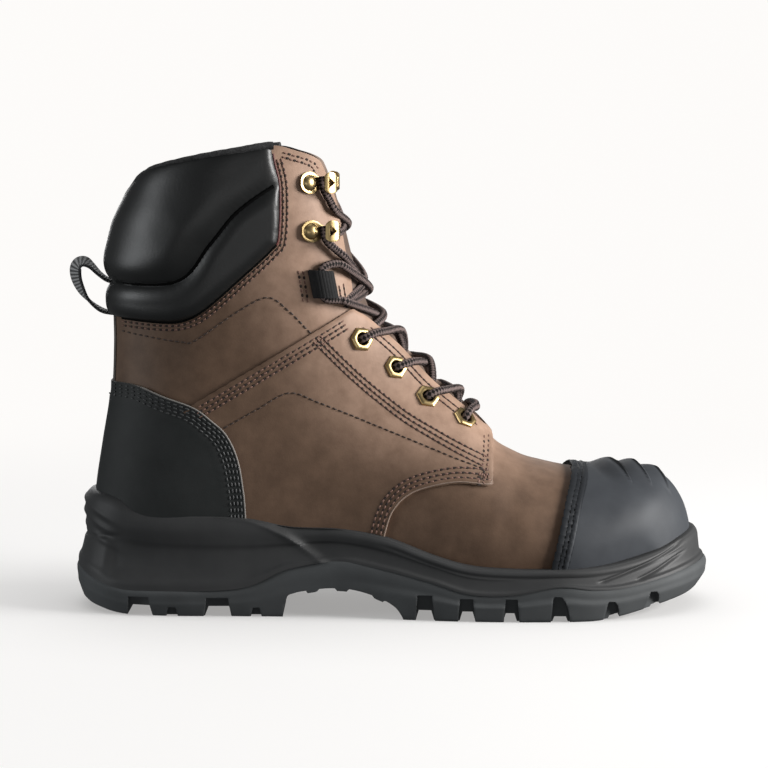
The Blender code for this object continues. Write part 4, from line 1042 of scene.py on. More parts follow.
def collar_lift(row, column, spot):
    x, y, z = spot.T
    edge = np.maximum(depth(COLLAR, x, z), 0.0)
    top = reach(TOP_CURVE, x, z)
    groove = reach(GROOVE_LINE, x, z)
    above = z > np.interp(x, GROOVE_LINE[:, 0], GROOVE_LINE[:, 1])
    back = 1.0 - ease(x, -128.0, -88.0)
    thinning = 0.3 + 0.25 * pillow(top, 8.0) + 0.45 * ease(top, 4.0, 38.0)
    upper_roll = (5.0 + 2.8 * back) * roll(groove, 15.0) * pillow(edge, 7.0) * thinning
    lower_roll = (3.0 + 0.6 * back) * roll(groove, 8.0) * pillow(edge, 6.5)
    gather = 0.10 * np.sin(x * 1.5 + z * 1.5) * bell(groove - 1.0, 2.2) * ease(x, -84.0, -70.0)
    sag = 0.5 * np.sin(x * 0.13 + 1.0) * bell(groove - 14.0, 9.0) + 0.35 * np.sin(z * 0.21) * back
    return 1.2 + np.where(above, upper_roll, lower_roll) + (gather + sag) * pillow(edge, 8.0)


collar_black = hide(
    "collar_leather", (0.0034, 0.0038, 0.0038), (0.0058, 0.0064, 0.0064), 0.42, 1.3, 0.1, 18.0, coat=0.04,
    specular=0.46,
)
collar = patch(
    "collar_pad", (0.2, 4.7), (-100.0, 100.0), (130, 230), collar_wanted, collar_lift, 0.9, -1.0,
    (collar_black, collar_black, collar_black),
)
finish_mesh(collar, 70)
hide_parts("collar")


# Binding and piping
# Knitted black tape folded over the collar's top edge, a thin dark red cord along its front edge,
# and black seams in its groove and along its lower edge. The groove's seam is a matte black cord
# all along the groove: partly its stitches, partly painted shade where the upper roll overhangs the lower.
def find(points, side):
    """Row and column of side-view places (x, z) on the outer (-1) or inner (+1) side."""
    points = np.asarray(points, float)
    columns = np.arange(STRIP, TOP + 1) if side < 0 else np.arange(LOOP - STRIP, TOP - 1, -1)
    table = SKIN[:, columns][:, :, (0, 2)]
    rows = []
    for x, z in points:
        near = np.argmin((table[..., 0] - x) ** 2 + (table[..., 1] - z) ** 2)
        i, j = np.unravel_index(near, table.shape[:2])
        rows.append((i / ROW_STEPS, float(columns[j])))
    spots = np.array(rows)
    for _ in range(6):
        here = skin(spots[:, 0], spots[:, 1])[:, (0, 2)]
        by_row = (skin(spots[:, 0] + 0.05, spots[:, 1])[:, (0, 2)] - here) / 0.05
        by_column = (skin(spots[:, 0], spots[:, 1] + 0.5)[:, (0, 2)] - here) / 0.5
        miss = points - here
        size = by_row[:, 0] * by_column[:, 1] - by_row[:, 1] * by_column[:, 0]
        size = np.where(np.abs(size) < 1e-6, 1e-6, size)
        step_row = (miss[:, 0] * by_column[:, 1] - miss[:, 1] * by_column[:, 0]) / size
        step_column = (by_row[:, 0] * miss[:, 1] - by_row[:, 1] * miss[:, 0]) / size
        spots[:, 0] += np.clip(step_row, -0.3, 0.3)
        spots[:, 1] += np.clip(step_column, -4.0, 4.0)
    low, high = (0.0, float(TOP)) if side < 0 else (float(TOP), float(LOOP))
    spots[:, 0] = np.clip(spots[:, 0], 0.0, len(LAST) - 1.001)
    spots[:, 1] = np.clip(spots[:, 1], low, high)
    return spots


def tube(name, path, out, wide, thick, sides=16, square=2.0, caps=True, relief=None):
    """A rod along a path, with half sizes wide (across) and thick (along out). Its UV runs in centimetres."""
    path = np.asarray(path, float)
    count = len(path)
    step = np.gradient(path, axis=0)
    step /= np.linalg.norm(step, axis=1, keepdims=True)
    out = np.asarray(out, float) - step * np.sum(np.asarray(out, float) * step, axis=1, keepdims=True)
    out /= np.linalg.norm(out, axis=1, keepdims=True)
    cross = np.cross(step, out)
    run = np.concatenate([[0.0], np.cumsum(np.linalg.norm(np.diff(path, axis=0), axis=1))])
    piece, u, v = sheet_grid(name, sides, count + 1)
    ring = np.clip(np.rint(v * (count + 1)).astype(int) - 1, 0, count - 1)
    ends = (np.rint(v * (count + 1)) < 0.5) | (np.rint(v * (count + 1)) > count + 0.5)
    angle = np.rint(u * sides) / sides * 2.0 * np.pi
    power = 2.0 / square
    along_out = np.sign(np.cos(angle)) * np.abs(np.cos(angle)) ** power
    along_cross = np.sign(np.sin(angle)) * np.abs(np.sin(angle)) ** power
    wide = np.broadcast_to(wide, (count,))[ring]
    thick = np.broadcast_to(thick, (count,))[ring]
    swell = np.ones(len(ring)) if relief is None else relief(run[ring], angle)
    size = np.where(ends & caps, 0.0, 1.0) * swell
    rise = out[ring] * (along_out * thick * size)[:, None]
    spread = cross[ring] * (along_cross * wide * size)[:, None]
    move_vertices(piece, path[ring] + rise + spread)
    layer = piece.data.uv_layers[0] if piece.data.uv_layers else piece.data.uv_layers.new(name="UVMap")
    corners = np.empty(len(piece.data.loops), int)
    piece.data.loops.foreach_get("vertex_index", corners)
    sheet = np.stack([u[corners], run[ring[corners]] / 10.0], axis=1)
    layer.data.foreach_set("uv", sheet.ravel())
    bpy.ops.object.mode_set(mode="EDIT")
    bpy.ops.mesh.select_all(action="SELECT")
    bpy.ops.mesh.remove_doubles(threshold=0.004 * MM)
    bpy.ops.mesh.normals_make_consistent(inside=False)
    bpy.ops.object.mode_set(mode="OBJECT")
    face_out(piece)
    return piece


def join(name, parts):
    bpy.ops.object.select_all(action="DESELECT")
    for part in parts:
        part.select_set(True)
    bpy.context.view_layer.objects.active = parts[0]
    if len(parts) > 1:
        bpy.ops.object.join()
    parts[0].name = name
    parts[0].data.name = name
    return parts[0]


def side_path(line, side, lift, spacing=1.5):
    line = np.asarray(line, float)
    count = max(int(np.linalg.norm(np.diff(line, axis=0), axis=1).sum() / spacing), 4)
    spots = find(evenly(line, count), side)
    return skin(spots[:, 0], spots[:, 1], lift), on_skin(SKIN_OUT, spots[:, 0], spots[:, 1])


def between(line, low=-1e9, high=1e9, axis=1):
    return line[(line[:, axis] > low) & (line[:, axis] < high)]


def beside(line, away):
    """The same line moved to its left by a distance in the side view."""
    line = np.asarray(line, float)
    step = np.gradient(line, axis=0)
    step /= np.maximum(np.linalg.norm(step, axis=1, keepdims=True), 1e-9)
    return line + np.stack([-step[:, 1], step[:, 0]], axis=1) * away


top_half = between(TOP_CURVE, -118.0, -54.0, 0)
outer_top = find(top_half[::-1], -1)
back_row = np.interp(-194.4, -SKIN[:, 0, 2], np.arange(len(SKIN)) / ROW_STEPS)
bend = np.linspace(outer_top[-1, 1], -outer_top[-1, 1], 24)[1:-1]
bend_row = outer_top[-1, 0] + (back_row - outer_top[-1, 0]) * (1.0 - (bend / outer_top[-1, 1]) ** 2)
ring_rows = np.concatenate([outer_top[:, 0], bend_row, outer_top[::-1, 0]])
ring_columns = np.concatenate([outer_top[:, 1], bend, -outer_top[::-1, 1]])
binding = tube(
    "collar_binding", skin(ring_rows, ring_columns, 0.4), on_skin(SKIN_OUT, ring_rows, ring_columns),
    1.9, 3.6, sides=14, relief=lambda run, angle: 1.0 + 0.05 * np.sin(run * 4.2 + 2.0 * np.cos(angle)),
)
knit = hide("knit_tape", (0.006, 0.006, 0.0065), (0.045, 0.045, 0.046), 0.85, 0.8, 0.25, 1.3)
binding.data.materials.append(knit)
finish_mesh(binding, 60)

pipes = []
for side in (-1, 1):
    front_edge = between(between(COLLAR_LINE, -57.0, 0.0, 0), 172.0, 222.0)
    path, out = side_path(front_edge + np.array([0.5, 0.0]), side, 0.5)
    pipes.append(tube("pipe", path, out, 0.55, 0.6, sides=10))
piping = join("collar_piping", pipes)
piping_red = hide("piping_red", (0.06, 0.008, 0.007), (0.10, 0.014, 0.012), 0.6, 0.6, 0.05, 5.0)
piping.data.materials.append(piping_red)
finish_mesh(piping, 60)

seams = []
for side in (-1, 1):
    # Partly stitches, partly painted shade: a matte black cord fills the groove under the overhanging upper
    # roll.
    path, out = side_path(between(GROOVE_LINE, -129.0, -54.0, 0), side, 1.7)
    seams.append(tube("seam", path, out, 0.9, 0.8, sides=10))
    lower_edge = between(between(COLLAR_LINE, -131.0, -53.5, 0), 100.0, 178.0)
    path, out = side_path(beside(lower_edge, -0.3), side, 0.5)
    seams.append(tube("seam", path, out, 0.75, 0.7, sides=10))
seam = join("collar_seam_and_groove_shade", seams)
seam_and_shade_black = hide(
    "seam_and_shade_black", (0.002, 0.002, 0.002), (0.004, 0.004, 0.004), 0.95, 0.6, 0.1, 3.0, specular=0.05,
)
seam.data.materials.append(seam_and_shade_black)
finish_mesh(seam, 60)

# Cut edges
# Bare leather along the edge of the heel counter and of the quarters' lower front.
# The die leaves it pale, as a thin bead along the outline.
edges = []
for side in (-1, 1):
    path, out = side_path(between(curve(COUNTER_EDGE, 10), 46.0, 109.0), side, GAP + COUNTER_THICK - 0.15)
    edges.append(tube("edge", path, out, 0.38, 0.38, sides=8))
counter_line_edge = join("counter_cut_edge", edges)
counter_line_edge.data.materials.append(counter_edge)
finish_mesh(counter_line_edge, 60)

edges = []
for side in (-1, 1):
    path, out = side_path(between(curve(QUARTER_FRONT, 10), 33.0, 64.6), side, GAP + QUARTER_THICK - 0.15)
    edges.append(tube("edge", path, out, 0.35, 0.35, sides=8))
quarter_line_edge = join("quarter_cut_edge", edges)
quarter_line_edge.data.materials.append(raw_edge)
finish_mesh(quarter_line_edge, 60)

# Back strap
# Narrow strip of black leather sewn over the back seam, from under the collar to under the
# heel counter.
def strap_wanted(x, z, y):
    return np.minimum(np.minimum(z - 106.0, 146.0 - z), 9.6 - np.abs(y))


def strap_lift(row, column, spot):
    return np.full(len(row), GAP)


strap = patch(
    "back_strap_leather", (2.9, 5.4), (-22.0, 22.0), (46, 36), strap_wanted, strap_lift, 1.0, 1.0,
    (counter_black, counter_black, counter_edge),
)
finish_mesh(strap, 50)
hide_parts("back_strap")

# Pull loop
# Black webbing folded into a loop, its ends sewn in at the back of the collar.
# Pale ribs cross the weave between two dark borders.
LOOP_PATH = [
    # x, z, twist in degrees
    (-131.5, 157.6, 0.0), (-136.7, 158.4, 0.0), (-141.2, 161.4, 0.0), (-145.2, 165.4, 4.0),
    (-148.6, 167.4, 14.0), (-151.6, 166.6, 22.0), (-153.0, 163.6, 26.0), (-152.4, 158.6, 24.0),
    (-150.0, 153.2, 18.0), (-146.8, 148.8, 8.0), (-142.6, 145.2, 2.0), (-138.6, 143.2, 0.0),
    (-132.0, 142.2, 0.0),
]
loop_points = curve(LOOP_PATH, 12)
loop_path = np.stack([loop_points[:, 0], np.zeros(len(loop_points)), loop_points[:, 1]], axis=1)
loop_step = np.gradient(loop_path, axis=0)
loop_step /= np.linalg.norm(loop_step, axis=1, keepdims=True)
loop_flat = np.cross(loop_step, (0.0, 1.0, 0.0))
loop_turn = np.radians(loop_points[:, 2])[:, None]
loop_out = loop_flat * np.cos(loop_turn) + np.array((0.0, 1.0, 0.0)) * np.sin(loop_turn)
pull_loop = tube("pull_loop_webbing", loop_path, loop_out, 7.5, 0.85, sides=28, square=4.0)


def webbing(name, dark, pale, rib):
    material = hide(name, dark, dark, 0.75, 0.6, 0.1, 6.0, sheen=0.15)
    links = material.node_tree.links
    shader = material.node_tree.nodes["Principled BSDF"]
    place = node_of(material, "ShaderNodeUVMap")
    wave = node_of(material, "ShaderNodeTexWave", Scale=math.pi / rib, Distortion=0.3)
    wave.bands_direction = "Y"
    links.new(place.outputs["UV"], wave.inputs["Vector"])
    split = node_of(material, "ShaderNodeSeparateXYZ")
    links.new(place.outputs["UV"], split.inputs[0])
    border = split.outputs["X"]
    turns = (("MULTIPLY", 2.0 * math.pi), ("COSINE", 0.0), ("ABSOLUTE", 0.0), ("GREATER_THAN", 0.74))
    for operation, value in turns:
        turn = node_of(material, "ShaderNodeMath", operation=operation)
        turn.inputs[1].default_value = value
        links.new(border, turn.inputs[0])
        border = turn.outputs["Value"]
    ribs = node_of(material, "ShaderNodeMath", operation="MULTIPLY")
    links.new(wave.outputs["Fac"], ribs.inputs[0])
    links.new(border, ribs.inputs[1])
    blend = node_of(material, "ShaderNodeMix", data_type="RGBA")
    blend.inputs[6].default_value = (*dark, 1.0)
    blend.inputs[7].default_value = (*pale, 1.0)
    links.new(ribs.outputs["Value"], blend.inputs[0])
    links.new(blend.outputs[2], shader.inputs["Base Color"])
    bump = node_of(material, "ShaderNodeBump", Strength=0.8, Distance=0.4 * MM)
    links.new(wave.outputs["Fac"], bump.inputs["Height"])
    links.new(bump.outputs["Normal"], shader.inputs["Normal"])
    return material


loop_weave = webbing("webbing", (0.008, 0.008, 0.009), (0.32, 0.32, 0.32), 1.63)
pull_loop.data.materials.append(loop_weave)
finish_mesh(pull_loop, 50)
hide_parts("pull_loop")

# Stitching
# Lockstitched thread through the leather: brown on brown, grey on the counter, black on the toe cap.
# Each thread is one joined mesh, and so are the needle holes between the brown stitches: low dark beads of
# painted shade.
STITCH_PITCH = 2.9
SHAFT_ROW = [
    (-127.8, 135.0), (-109.4, 132.2), (-98.9, 131.0), (-92.3, 131.6), (-71.0, 146.0), (-57.4, 152.2),
    (-47.2, 145.4), (-38.0, 135.8),
]
BRANCH_ROW = [(-34.2, 131.9), (-15.3, 112.7), (4.9, 95.9), (21.7, 85.5), (44.1, 73.1)]
SINGLE_ROW = [
    (-77.6, 90.7), (-62.4, 99.3), (-47.8, 106.8), (-33.2, 101.7), (-5.9, 90.1), (21.7, 78.8), (43.2, 70.1),
]
ON_QUARTER = GAP + QUARTER_THICK


bpy.ops.object.select_all(action="DESELECT")
bpy.ops.mesh.primitive_uv_sphere_add(segments=8, ring_count=5, radius=1.0)
bead = bpy.context.object
bead_places = np.array([vertex.co[:] for vertex in bead.data.vertices])
bead_faces = [tuple(face.vertices) for face in bead.data.polygons]
bpy.data.objects.remove(bead)


def stitches(name, rows, material, pitch=STITCH_PITCH, long=1.15, wide=0.42, high=0.42, shift=0.0):
    places = []
    faces = []
    for line, lift, sink in rows:
        for side in (-1, 1):
            count = max(int(np.linalg.norm(np.diff(line, axis=0), axis=1).sum() / pitch), 3)
            flat = evenly(line, count * 2 - 1)[::2] if shift == 0.0 else evenly(line, count * 2 - 1)[1::2]
            spots = find(flat, side)
            miss = skin(spots[:, 0], spots[:, 1])[:, (0, 2)] - flat
            spots = spots[np.hypot(miss[:, 0], miss[:, 1]) < 0.8]
            flat = flat[np.hypot(miss[:, 0], miss[:, 1]) < 0.8]
            out = on_skin(SKIN_OUT, spots[:, 0], spots[:, 1])
            middle = skin(spots[:, 0], spots[:, 1], lift + sink * creased(flat[:, 0], flat[:, 1]))
            step = np.gradient(middle, axis=0)
            step /= np.maximum(np.linalg.norm(step, axis=1, keepdims=True), 1e-9)
            across = np.cross(out, step)
            for centre, along, over, up in zip(middle, step, across, out):
                start = len(places) * len(bead_places)
                x = np.sign(bead_places[:, 2]) * np.abs(bead_places[:, 2]) ** 0.7
                body = centre + np.outer(x * long, along) + np.outer(bead_places[:, 0] * wide, over)
                places.append(body + np.outer(bead_places[:, 1] * high, up))
                faces.extend(tuple(corner + start for corner in face) for face in bead_faces)
    data = bpy.data.meshes.new(name)
    data.from_pydata((np.vstack(places) * MM).tolist(), [], faces)
    piece = bpy.data.objects.new(name, data)
    bpy.context.scene.collection.objects.link(piece)
    data.materials.append(material)
    finish_mesh(piece, 80)
    return piece


facing = curve(FACING_LINE, 10)
front_line = np.array([(49.2, 83.0), (49.0, 76.0), (48.5, 67.0)])
quarter_low = between(curve(QUARTER_FRONT, 10), 34.0, 90.0)
single_rows = [(curve(SHAFT_ROW, 10), 0.1, 1.0), (curve(SINGLE_ROW, 10), ON_QUARTER + 0.1, 1.0)]
brown_rows = []
for away in (-2.1, -4.0):
    under_collar = between(between(beside(COLLAR_LINE, away), -129.0, -46.0, 0), 100.0, 217.0)
    brown_rows.append((under_collar, 0.1, 1.0))
for away in (-2.6, -4.7):
    brown_rows.append((between(beside(TOP_CURVE, away), -50.0, -34.0, 0), 0.1, 1.0))
    brown_rows.append((between(beside(facing, away), 88.0, 136.0), ON_QUARTER + 0.1, 1.0))
    brown_rows.append((beside(evenly(front_line, 12), away), ON_QUARTER + 0.1, 1.0))
for away in (-1.8, -4.0, -6.2):
    slant = between(beside(evenly(np.array(QUARTER_TOP[:4]), 60), away), -91.0, -21.0, 0)
    brown_rows.append((slant, ON_QUARTER + 0.1, 1.0))
    brown_rows.append((beside(quarter_low, away), ON_QUARTER + 0.1, 1.0))
for away in (-2.1, 0.0, 2.1):
    brown_rows.append((beside(curve(BRANCH_ROW, 10), away), ON_QUARTER + 0.1, 1.0))
keeper_rows = [(-41.9, 151.0, 164.0), (-39.7, 150.6, 163.6), (-23.4, 150.6, 156.4), (-21.4, 151.4, 157.2)]
for x, low, high in keeper_rows:
    lean = 0.08 * (high - low)
    brown_rows.append((np.array([(x + lean, low), (x, (low + high) / 2.0), (x - lean, high)]), 0.1, 1.0))
thread_dark = hide("thread_dark", (0.030, 0.017, 0.012), (0.048, 0.029, 0.021), 0.6, 0.5, 0.1, 3.0)
thread_brown = hide("thread_brown", (0.145, 0.075, 0.055), (0.20, 0.11, 0.083), 0.7, 0.5, 0.1, 3.0)
needle_hole_shade = hide("needle_hole_shade", (0.020, 0.012, 0.009), (0.028, 0.017, 0.013), 0.9, 0.5, 0.05, 3.0)
stitches("single_stitching", single_rows, thread_dark)
stitches("brown_stitching", brown_rows, thread_brown, long=0.95)
# Painted shade: low dark beads stand for the shadowed needle holes between the brown stitches.
stitches("needle_hole_shades", brown_rows, needle_hole_shade, long=0.85, wide=0.6, high=0.2, shift=0.5)

counter_line = between(between(curve(COUNTER_EDGE, 10), 47.0, 200.0), -134.0, 0.0, 0)
grey_rows = []
for away in (-1.5, -3.2, -4.9, -6.6):
    grey_rows.append((beside(counter_line, away), GAP + COUNTER_THICK + 0.05, 0.0))
thread_grey = hide("thread_grey", (0.035, 0.037, 0.038), (0.06, 0.062, 0.063), 0.6, 0.5, 0.1, 3.0)
stitches("counter_stitching", grey_rows, thread_grey, long=1.05, wide=0.4, high=0.4)

cap_rows = []
for away in (1.75, 3.85):
    cap_rows.append((between(beside(CAP_LINE, away), 26.0, 65.0), GAP + CAP_THICK - 0.3, 0.0))
thread_black = hide(
    "thread_black", (0.003, 0.003, 0.003), (0.005, 0.005, 0.005), 0.9, 0.5, 0.1, 3.0, specular=0.08,
)
stitches("cap_stitching", cap_rows, thread_black, pitch=2.0, long=0.95, wide=0.72, high=0.5)

# Eyelets
# Six-sided brass rings, four on each side, riveted through the eyestay; the lace runs through them.
# One profile is turned round the hole: round inside, six-sided outside.
EYELET_PROFILE = [
    # radius, height over the leather, share of six sides in the outline
    (2.75, -2.4, 0.0), (2.75, 0.4, 0.0), (2.95, 0.95, 0.0), (3.35, 1.3, 0.1), (3.9, 1.35, 0.4),
    (4.6, 1.2, 0.9), (5.1, 0.85, 1.0), (5.3, 0.4, 1.0), (5.3, -0.15, 1.0), (3.2, -0.2, 0.0),
    (3.2, -2.4, 0.0), (2.75, -2.4, 0.0),
]
EYELET_SIDES = 48
brass = bpy.data.materials.new("brass")
brass.use_nodes = True
brass_shader = brass.node_tree.nodes["Principled BSDF"]
brass_shader.inputs["Base Color"].default_value = (0.40, 0.295, 0.14, 1.0)
brass_shader.inputs["Metallic"].default_value = 1.0
brass_shader.inputs["Roughness"].default_value = 0.34


def local_frame(x, z, side, lift):
    """Place, forward, upward and outward directions at a side-view place on the last."""
    row, column = find([(x, z)], side)[0]
    row, column = np.array([row]), np.array([column])
    spot = skin(row, column, lift)[0]
    out = on_skin(SKIN_OUT, row, column)[0]
    forward = np.array((1.0, 0.0, 0.0)) - out * out[0]
    forward /= np.linalg.norm(forward)
    return spot, forward, np.cross(out, forward) * (1.0 if np.cross(out, forward)[2] > 0.0 else -1.0), out


def six_sided(angle, flat):
    turn = np.mod(angle, np.pi / 3.0) - np.pi / 6.0
    return flat / np.cos(turn)


for side, name in ((-1, "outer"), (1, "inner")):
    for number, (x, z) in enumerate(EYELETS, 1):
        ring_name = "eyelet_brass_" + name + "_" + str(number)
        ring, u, v = sheet_grid(ring_name, EYELET_SIDES, len(EYELET_PROFILE) - 1)
        angle = np.rint(u * EYELET_SIDES) / EYELET_SIDES * 2.0 * np.pi
        profile = np.array(EYELET_PROFILE)[np.rint(v * (len(EYELET_PROFILE) - 1)).astype(int)]
        hexed = six_sided(angle, profile[:, 0]) * 0.85 + profile[:, 0] * 0.15 * 1.08
        radius = profile[:, 0] * (1.0 - profile[:, 2]) + hexed * profile[:, 2]
        spot, forward, upward, out = local_frame(x, z, side, ON_QUARTER)
        flat = np.outer(radius * np.cos(angle), forward) + np.outer(radius * np.sin(angle), upward)
        move_vertices(ring, spot + flat + np.outer(profile[:, 1], out))
        bpy.ops.object.mode_set(mode="EDIT")
        bpy.ops.mesh.select_all(action="SELECT")
        bpy.ops.mesh.remove_doubles(threshold=0.01 * MM)
        bpy.ops.object.mode_set(mode="OBJECT")
        face_out(ring)
        ring.data.materials.append(brass)
        finish_mesh(ring, 28)
        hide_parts("eyelet_" + name + "_" + str(number))

# Speed hooks
# Pressed brass strip, two on each side: a plate held by one domed rivet, turned out and back over
# itself, with a three-sided hole.
HOOKS = [(-38.0, 206.1), (-36.8, 183.3)]
HOOK_PATH = [
    # forward, outward, half width
    (-5.8, 1.0, 1.6), (-5.0, 1.0, 3.2), (-3.2, 1.0, 4.5), (-0.6, 1.0, 5.2), (2.2, 1.0, 4.6),
    (4.4, 1.0, 3.2), (6.8, 1.1, 2.6), (9.6, 1.5, 2.2), (11.2, 3.0, 2.2), (11.8, 5.0, 2.6),
    (11.0, 6.8, 3.6), (9.2, 7.6, 4.6), (6.6, 7.7, 5.1), (4.9, 7.4, 4.4), (3.9, 7.0, 3.2),
]
for side, name in ((-1, "outer"), (1, "inner")):
    for number, (x, z) in enumerate(HOOKS, 1):
        spot, forward, upward, out = local_frame(x, z, side, 0.1)
        shape = curve(HOOK_PATH, 6)
        strip, u, v = sheet_grid("hook_strip", 10, len(shape) - 1)
        step = np.rint(v * (len(shape) - 1)).astype(int)
        across = (u - 0.5) * 2.0
        flat = np.outer(shape[step, 0], forward) + np.outer(across * shape[step, 2], upward)
        move_vertices(strip, spot + flat + np.outer(shape[step, 1], out))
        apply_modifier(strip, "SOLIDIFY", thickness=1.0 * MM, offset=0.0)
        face_out(strip)
        bpy.ops.object.select_all(action="DESELECT")
        bpy.ops.mesh.primitive_cylinder_add(vertices=3, radius=3.0 * MM, depth=3.2 * MM)
        hole = bpy.context.object
        corners = np.array([vertex.co[:] for vertex in hole.data.vertices]) / MM
        hole_flat = np.outer(corners[:, 1] * 0.85 + 6.9, forward) + np.outer(corners[:, 0], upward)
        move_vertices(hole, spot + hole_flat + np.outer(corners[:, 2] + 7.4, out))
        face_out(hole)
        cut(strip, hole)
        apply_modifier(
            strip, "BEVEL", width=0.22 * MM, segments=2, limit_method="ANGLE", angle_limit=math.radians(40),
        )
        bpy.ops.object.select_all(action="DESELECT")
        bpy.ops.mesh.primitive_uv_sphere_add(segments=24, ring_count=14, radius=1.0)
        rivet = bpy.context.object
        dome = np.array([vertex.co[:] for vertex in rivet.data.vertices])
        dome_flat = np.outer(dome[:, 0] * 3.9 - 0.8, forward) + np.outer(dome[:, 1] * 3.9, upward)
        move_vertices(rivet, spot + dome_flat + np.outer(dome[:, 2] * 2.1 + 1.4, out))
        face_out(rivet)
        hook = join("hook_brass_" + name + "_" + str(number), [strip, rivet])
        hook.data.materials.clear()
        hook.data.materials.append(brass)
        finish_mesh(hook, 35)
        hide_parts("hook_" + name + "_" + str(number))

# Lace loops
# Short strap of black ribbed webbing on each side, sewn flat at both ends and bowed out at the
# ankle for the lace.
LACE_LOOP = (-32.2, 158.0)
for side, name in ((-1, "outer"), (1, "inner")):
    keeper, u, v = sheet_grid("lace_loop_webbing_" + name, 72, 16)
    s = (u - 0.5) * 2.0
    t = (v - 0.5) * 2.0
    flat = np.stack([LACE_LOOP[0] + s * 5.0 - t * 1.3, LACE_LOOP[1] + t * 6.6 - s * 0.6], axis=1)
    spots = find(flat, side)
    bow = 0.5 + 4.9 * np.sqrt(np.clip(1.0 - (np.abs(s) / 0.93) ** 2.6, 0.0, 1.0))
    move_vertices(keeper, skin(spots[:, 0], spots[:, 1], bow + 0.13 * np.sin(s * 5.6 * 5.2)))
    outward(keeper, keeper.data.vertices[len(keeper.data.vertices) // 2].co / MM)
    apply_modifier(keeper, "SOLIDIFY", thickness=1.3 * MM, offset=1.0, use_even_offset=False)
    apply_modifier(
        keeper, "BEVEL", width=0.3 * MM, segments=2, limit_method="ANGLE", angle_limit=math.radians(50),
    )
    keeper_weave = hide(
        "keeper_webbing", (0.008, 0.008, 0.0085), (0.014, 0.014, 0.0145), 0.8, 0.7, 0.2, 3.0, specular=0.2,
    )
    keeper.data.materials.append(keeper_weave)
    finish_mesh(keeper, 45)
    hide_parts("lace_loop_" + name)

# Lace
# Round braided cord in dark grey-brown with pale flecks, run crosswise through eyelets, loops and hooks;
# its two ends stop behind the top hooks.
LACE_RADIUS = 1.9
CROSSINGS = [
    # x, z and lift over the last, from each eyelet, loop or hook to the middle
    [(-14.0, 131.2, -2.0), (-13.6, 131.4, 2.6), (-9.5, 132.8, 4.3), (-4.0, 133.0, 3.6)],
    [(2.4, 117.2, -2.0), (2.8, 117.3, 2.6), (6.5, 118.0, 4.2), (10.6, 118.4, 3.4)],
    [(17.9, 102.7, -2.0), (18.2, 102.8, 2.6), (21.2, 103.4, 4.2), (25.0, 104.0, 3.4)],
    [(-32.0, 158.0, 2.4), (-31.9, 151.6, 2.9), (-25.6, 150.2, 3.4), (-20.6, 148.2, 3.4)],
    [(-32.2, 158.0, 2.4), (-33.0, 165.6, 2.9), (-27.4, 167.6, 3.6), (-22.4, 164.4, 3.8)],
    [(-33.0, 185.6, 3.0), (-32.0, 179.4, 3.4), (-28.2, 174.6, 3.6), (-23.2, 169.4, 3.6)],
    [(-34.4, 209.0, 3.2), (-33.6, 203.0, 3.4), (-30.8, 197.6, 3.0), (-27.2, 192.0, 2.2)],
]
CROSS_MIDDLES = [
    (131.0, 1.2), (116.6, 1.0), (102.4, 1.2), (140.0, 1.2), (153.0, 1.8), (158.6, 0.6), (186.5, -2.0),
]
CROSS_ENDS = [
    [(8.0, 122.4, -1.2), (3.4, 118.0, -4.4)], [(21.6, 108.2, -1.2), (18.6, 103.6, -4.4)],
    [(34.0, 97.6, -1.2), (35.2, 93.2, -4.4)], [(-7.6, 137.0, -1.2), (-13.0, 132.4, -4.4)],
    [(-18.4, 149.0, -1.0), (-24.0, 146.0, -4.0)], [(-18.0, 152.0, -1.0), (-24.0, 149.0, -4.0)],
    [(-24.4, 182.6, 1.4), (-32.6, 182.0, 2.4)],
]


def on_side(points, side):
    points = np.asarray(points, float)
    spots = find(points[:, :2], side)
    return skin(spots[:, 0], spots[:, 1], points[:, 2])


def middle_spot(z, lift):
    row = np.interp(-z, -SKIN[:, TOP, 2], np.arange(len(SKIN)) / ROW_STEPS)
    return skin(np.array([row]), np.array([float(TOP)]), lift)


def braid(run, angle):
    along = 2.0 * np.pi * run / 2.2
    return 1.0 + 0.03 * np.sin(along + 5.0 * angle) + 0.03 * np.sin(along - 5.0 * angle)


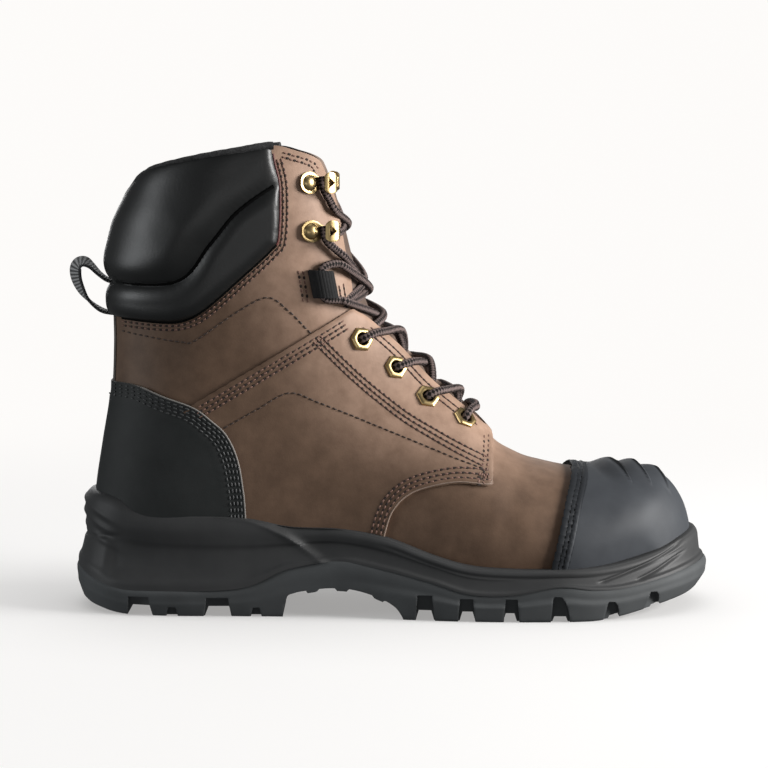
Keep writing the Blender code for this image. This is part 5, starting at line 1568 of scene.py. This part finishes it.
def cord(points):
    smooth = curve(points, 14)
    length = np.linalg.norm(np.diff(smooth, axis=0), axis=1).sum()
    path = evenly(smooth, int(length / 0.55))
    near = [np.argmin(((SKIN - place) ** 2).sum(axis=2)) for place in path[::6]]
    outs = np.array([SKIN_OUT.reshape(-1, 3)[index] for index in near])
    steps = np.arange(len(path))
    fine = np.stack([np.interp(steps, steps[::6], outs[:, axis]) for axis in range(3)], axis=1)
    return tube("cord", path, fine, LACE_RADIUS, LACE_RADIUS, sides=16, relief=braid)


strands = []
for number, (start, (height, lift), end) in enumerate(zip(CROSSINGS, CROSS_MIDDLES, CROSS_ENDS)):
    for side in (-1, 1):
        over = 2.6 if (side < 0) == (number % 2 == 0) else 0.0
        middle = middle_spot(height, lift + over)
        strands.append(cord(np.vstack([on_side(start, side), middle, on_side(end, -side)])))
bar = [(35.7, 92.1, -2.0), (35.8, 92.5, 2.6), (36.9, 94.2, 4.2), (39.6, 95.0, 3.8)]
strands.append(cord(np.vstack([on_side(bar, -1), middle_spot(94.6, 2.6), on_side(bar[::-1], 1)])))
lace = join("lace_braid", strands)
lace_cord = hide("lace_cord", (0.03, 0.025, 0.025), (0.03, 0.025, 0.025), 0.8, 0.5, 0.1, 2.0, specular=0.2)
lace_links = lace_cord.node_tree.links
lace_shader = lace_cord.node_tree.nodes["Principled BSDF"]
lace_place = node_of(lace_cord, "ShaderNodeUVMap")
lace_turn = node_of(lace_cord, "ShaderNodeMapping")
lace_turn.inputs["Scale"].default_value = (8.0, 13.0, 1.0)
lace_turn.inputs["Rotation"].default_value = (0.0, 0.0, math.radians(45.0))
lace_links.new(lace_place.outputs["UV"], lace_turn.inputs["Vector"])
lace_check = node_of(lace_cord, "ShaderNodeTexChecker", Scale=0.7072)
lace_check.inputs["Color1"].default_value = (0.006, 0.0045, 0.0045, 1.0)
lace_check.inputs["Color2"].default_value = (0.15, 0.112, 0.104, 1.0)
lace_links.new(lace_turn.outputs["Vector"], lace_check.inputs["Vector"])
lace_links.new(lace_check.outputs["Color"], lace_shader.inputs["Base Color"])
lace.data.materials.clear()
lace.data.materials.append(lace_cord)
finish_mesh(lace, 60)
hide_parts("lace_bar", *("lace_cross_" + str(number) for number in range(1, 8)))
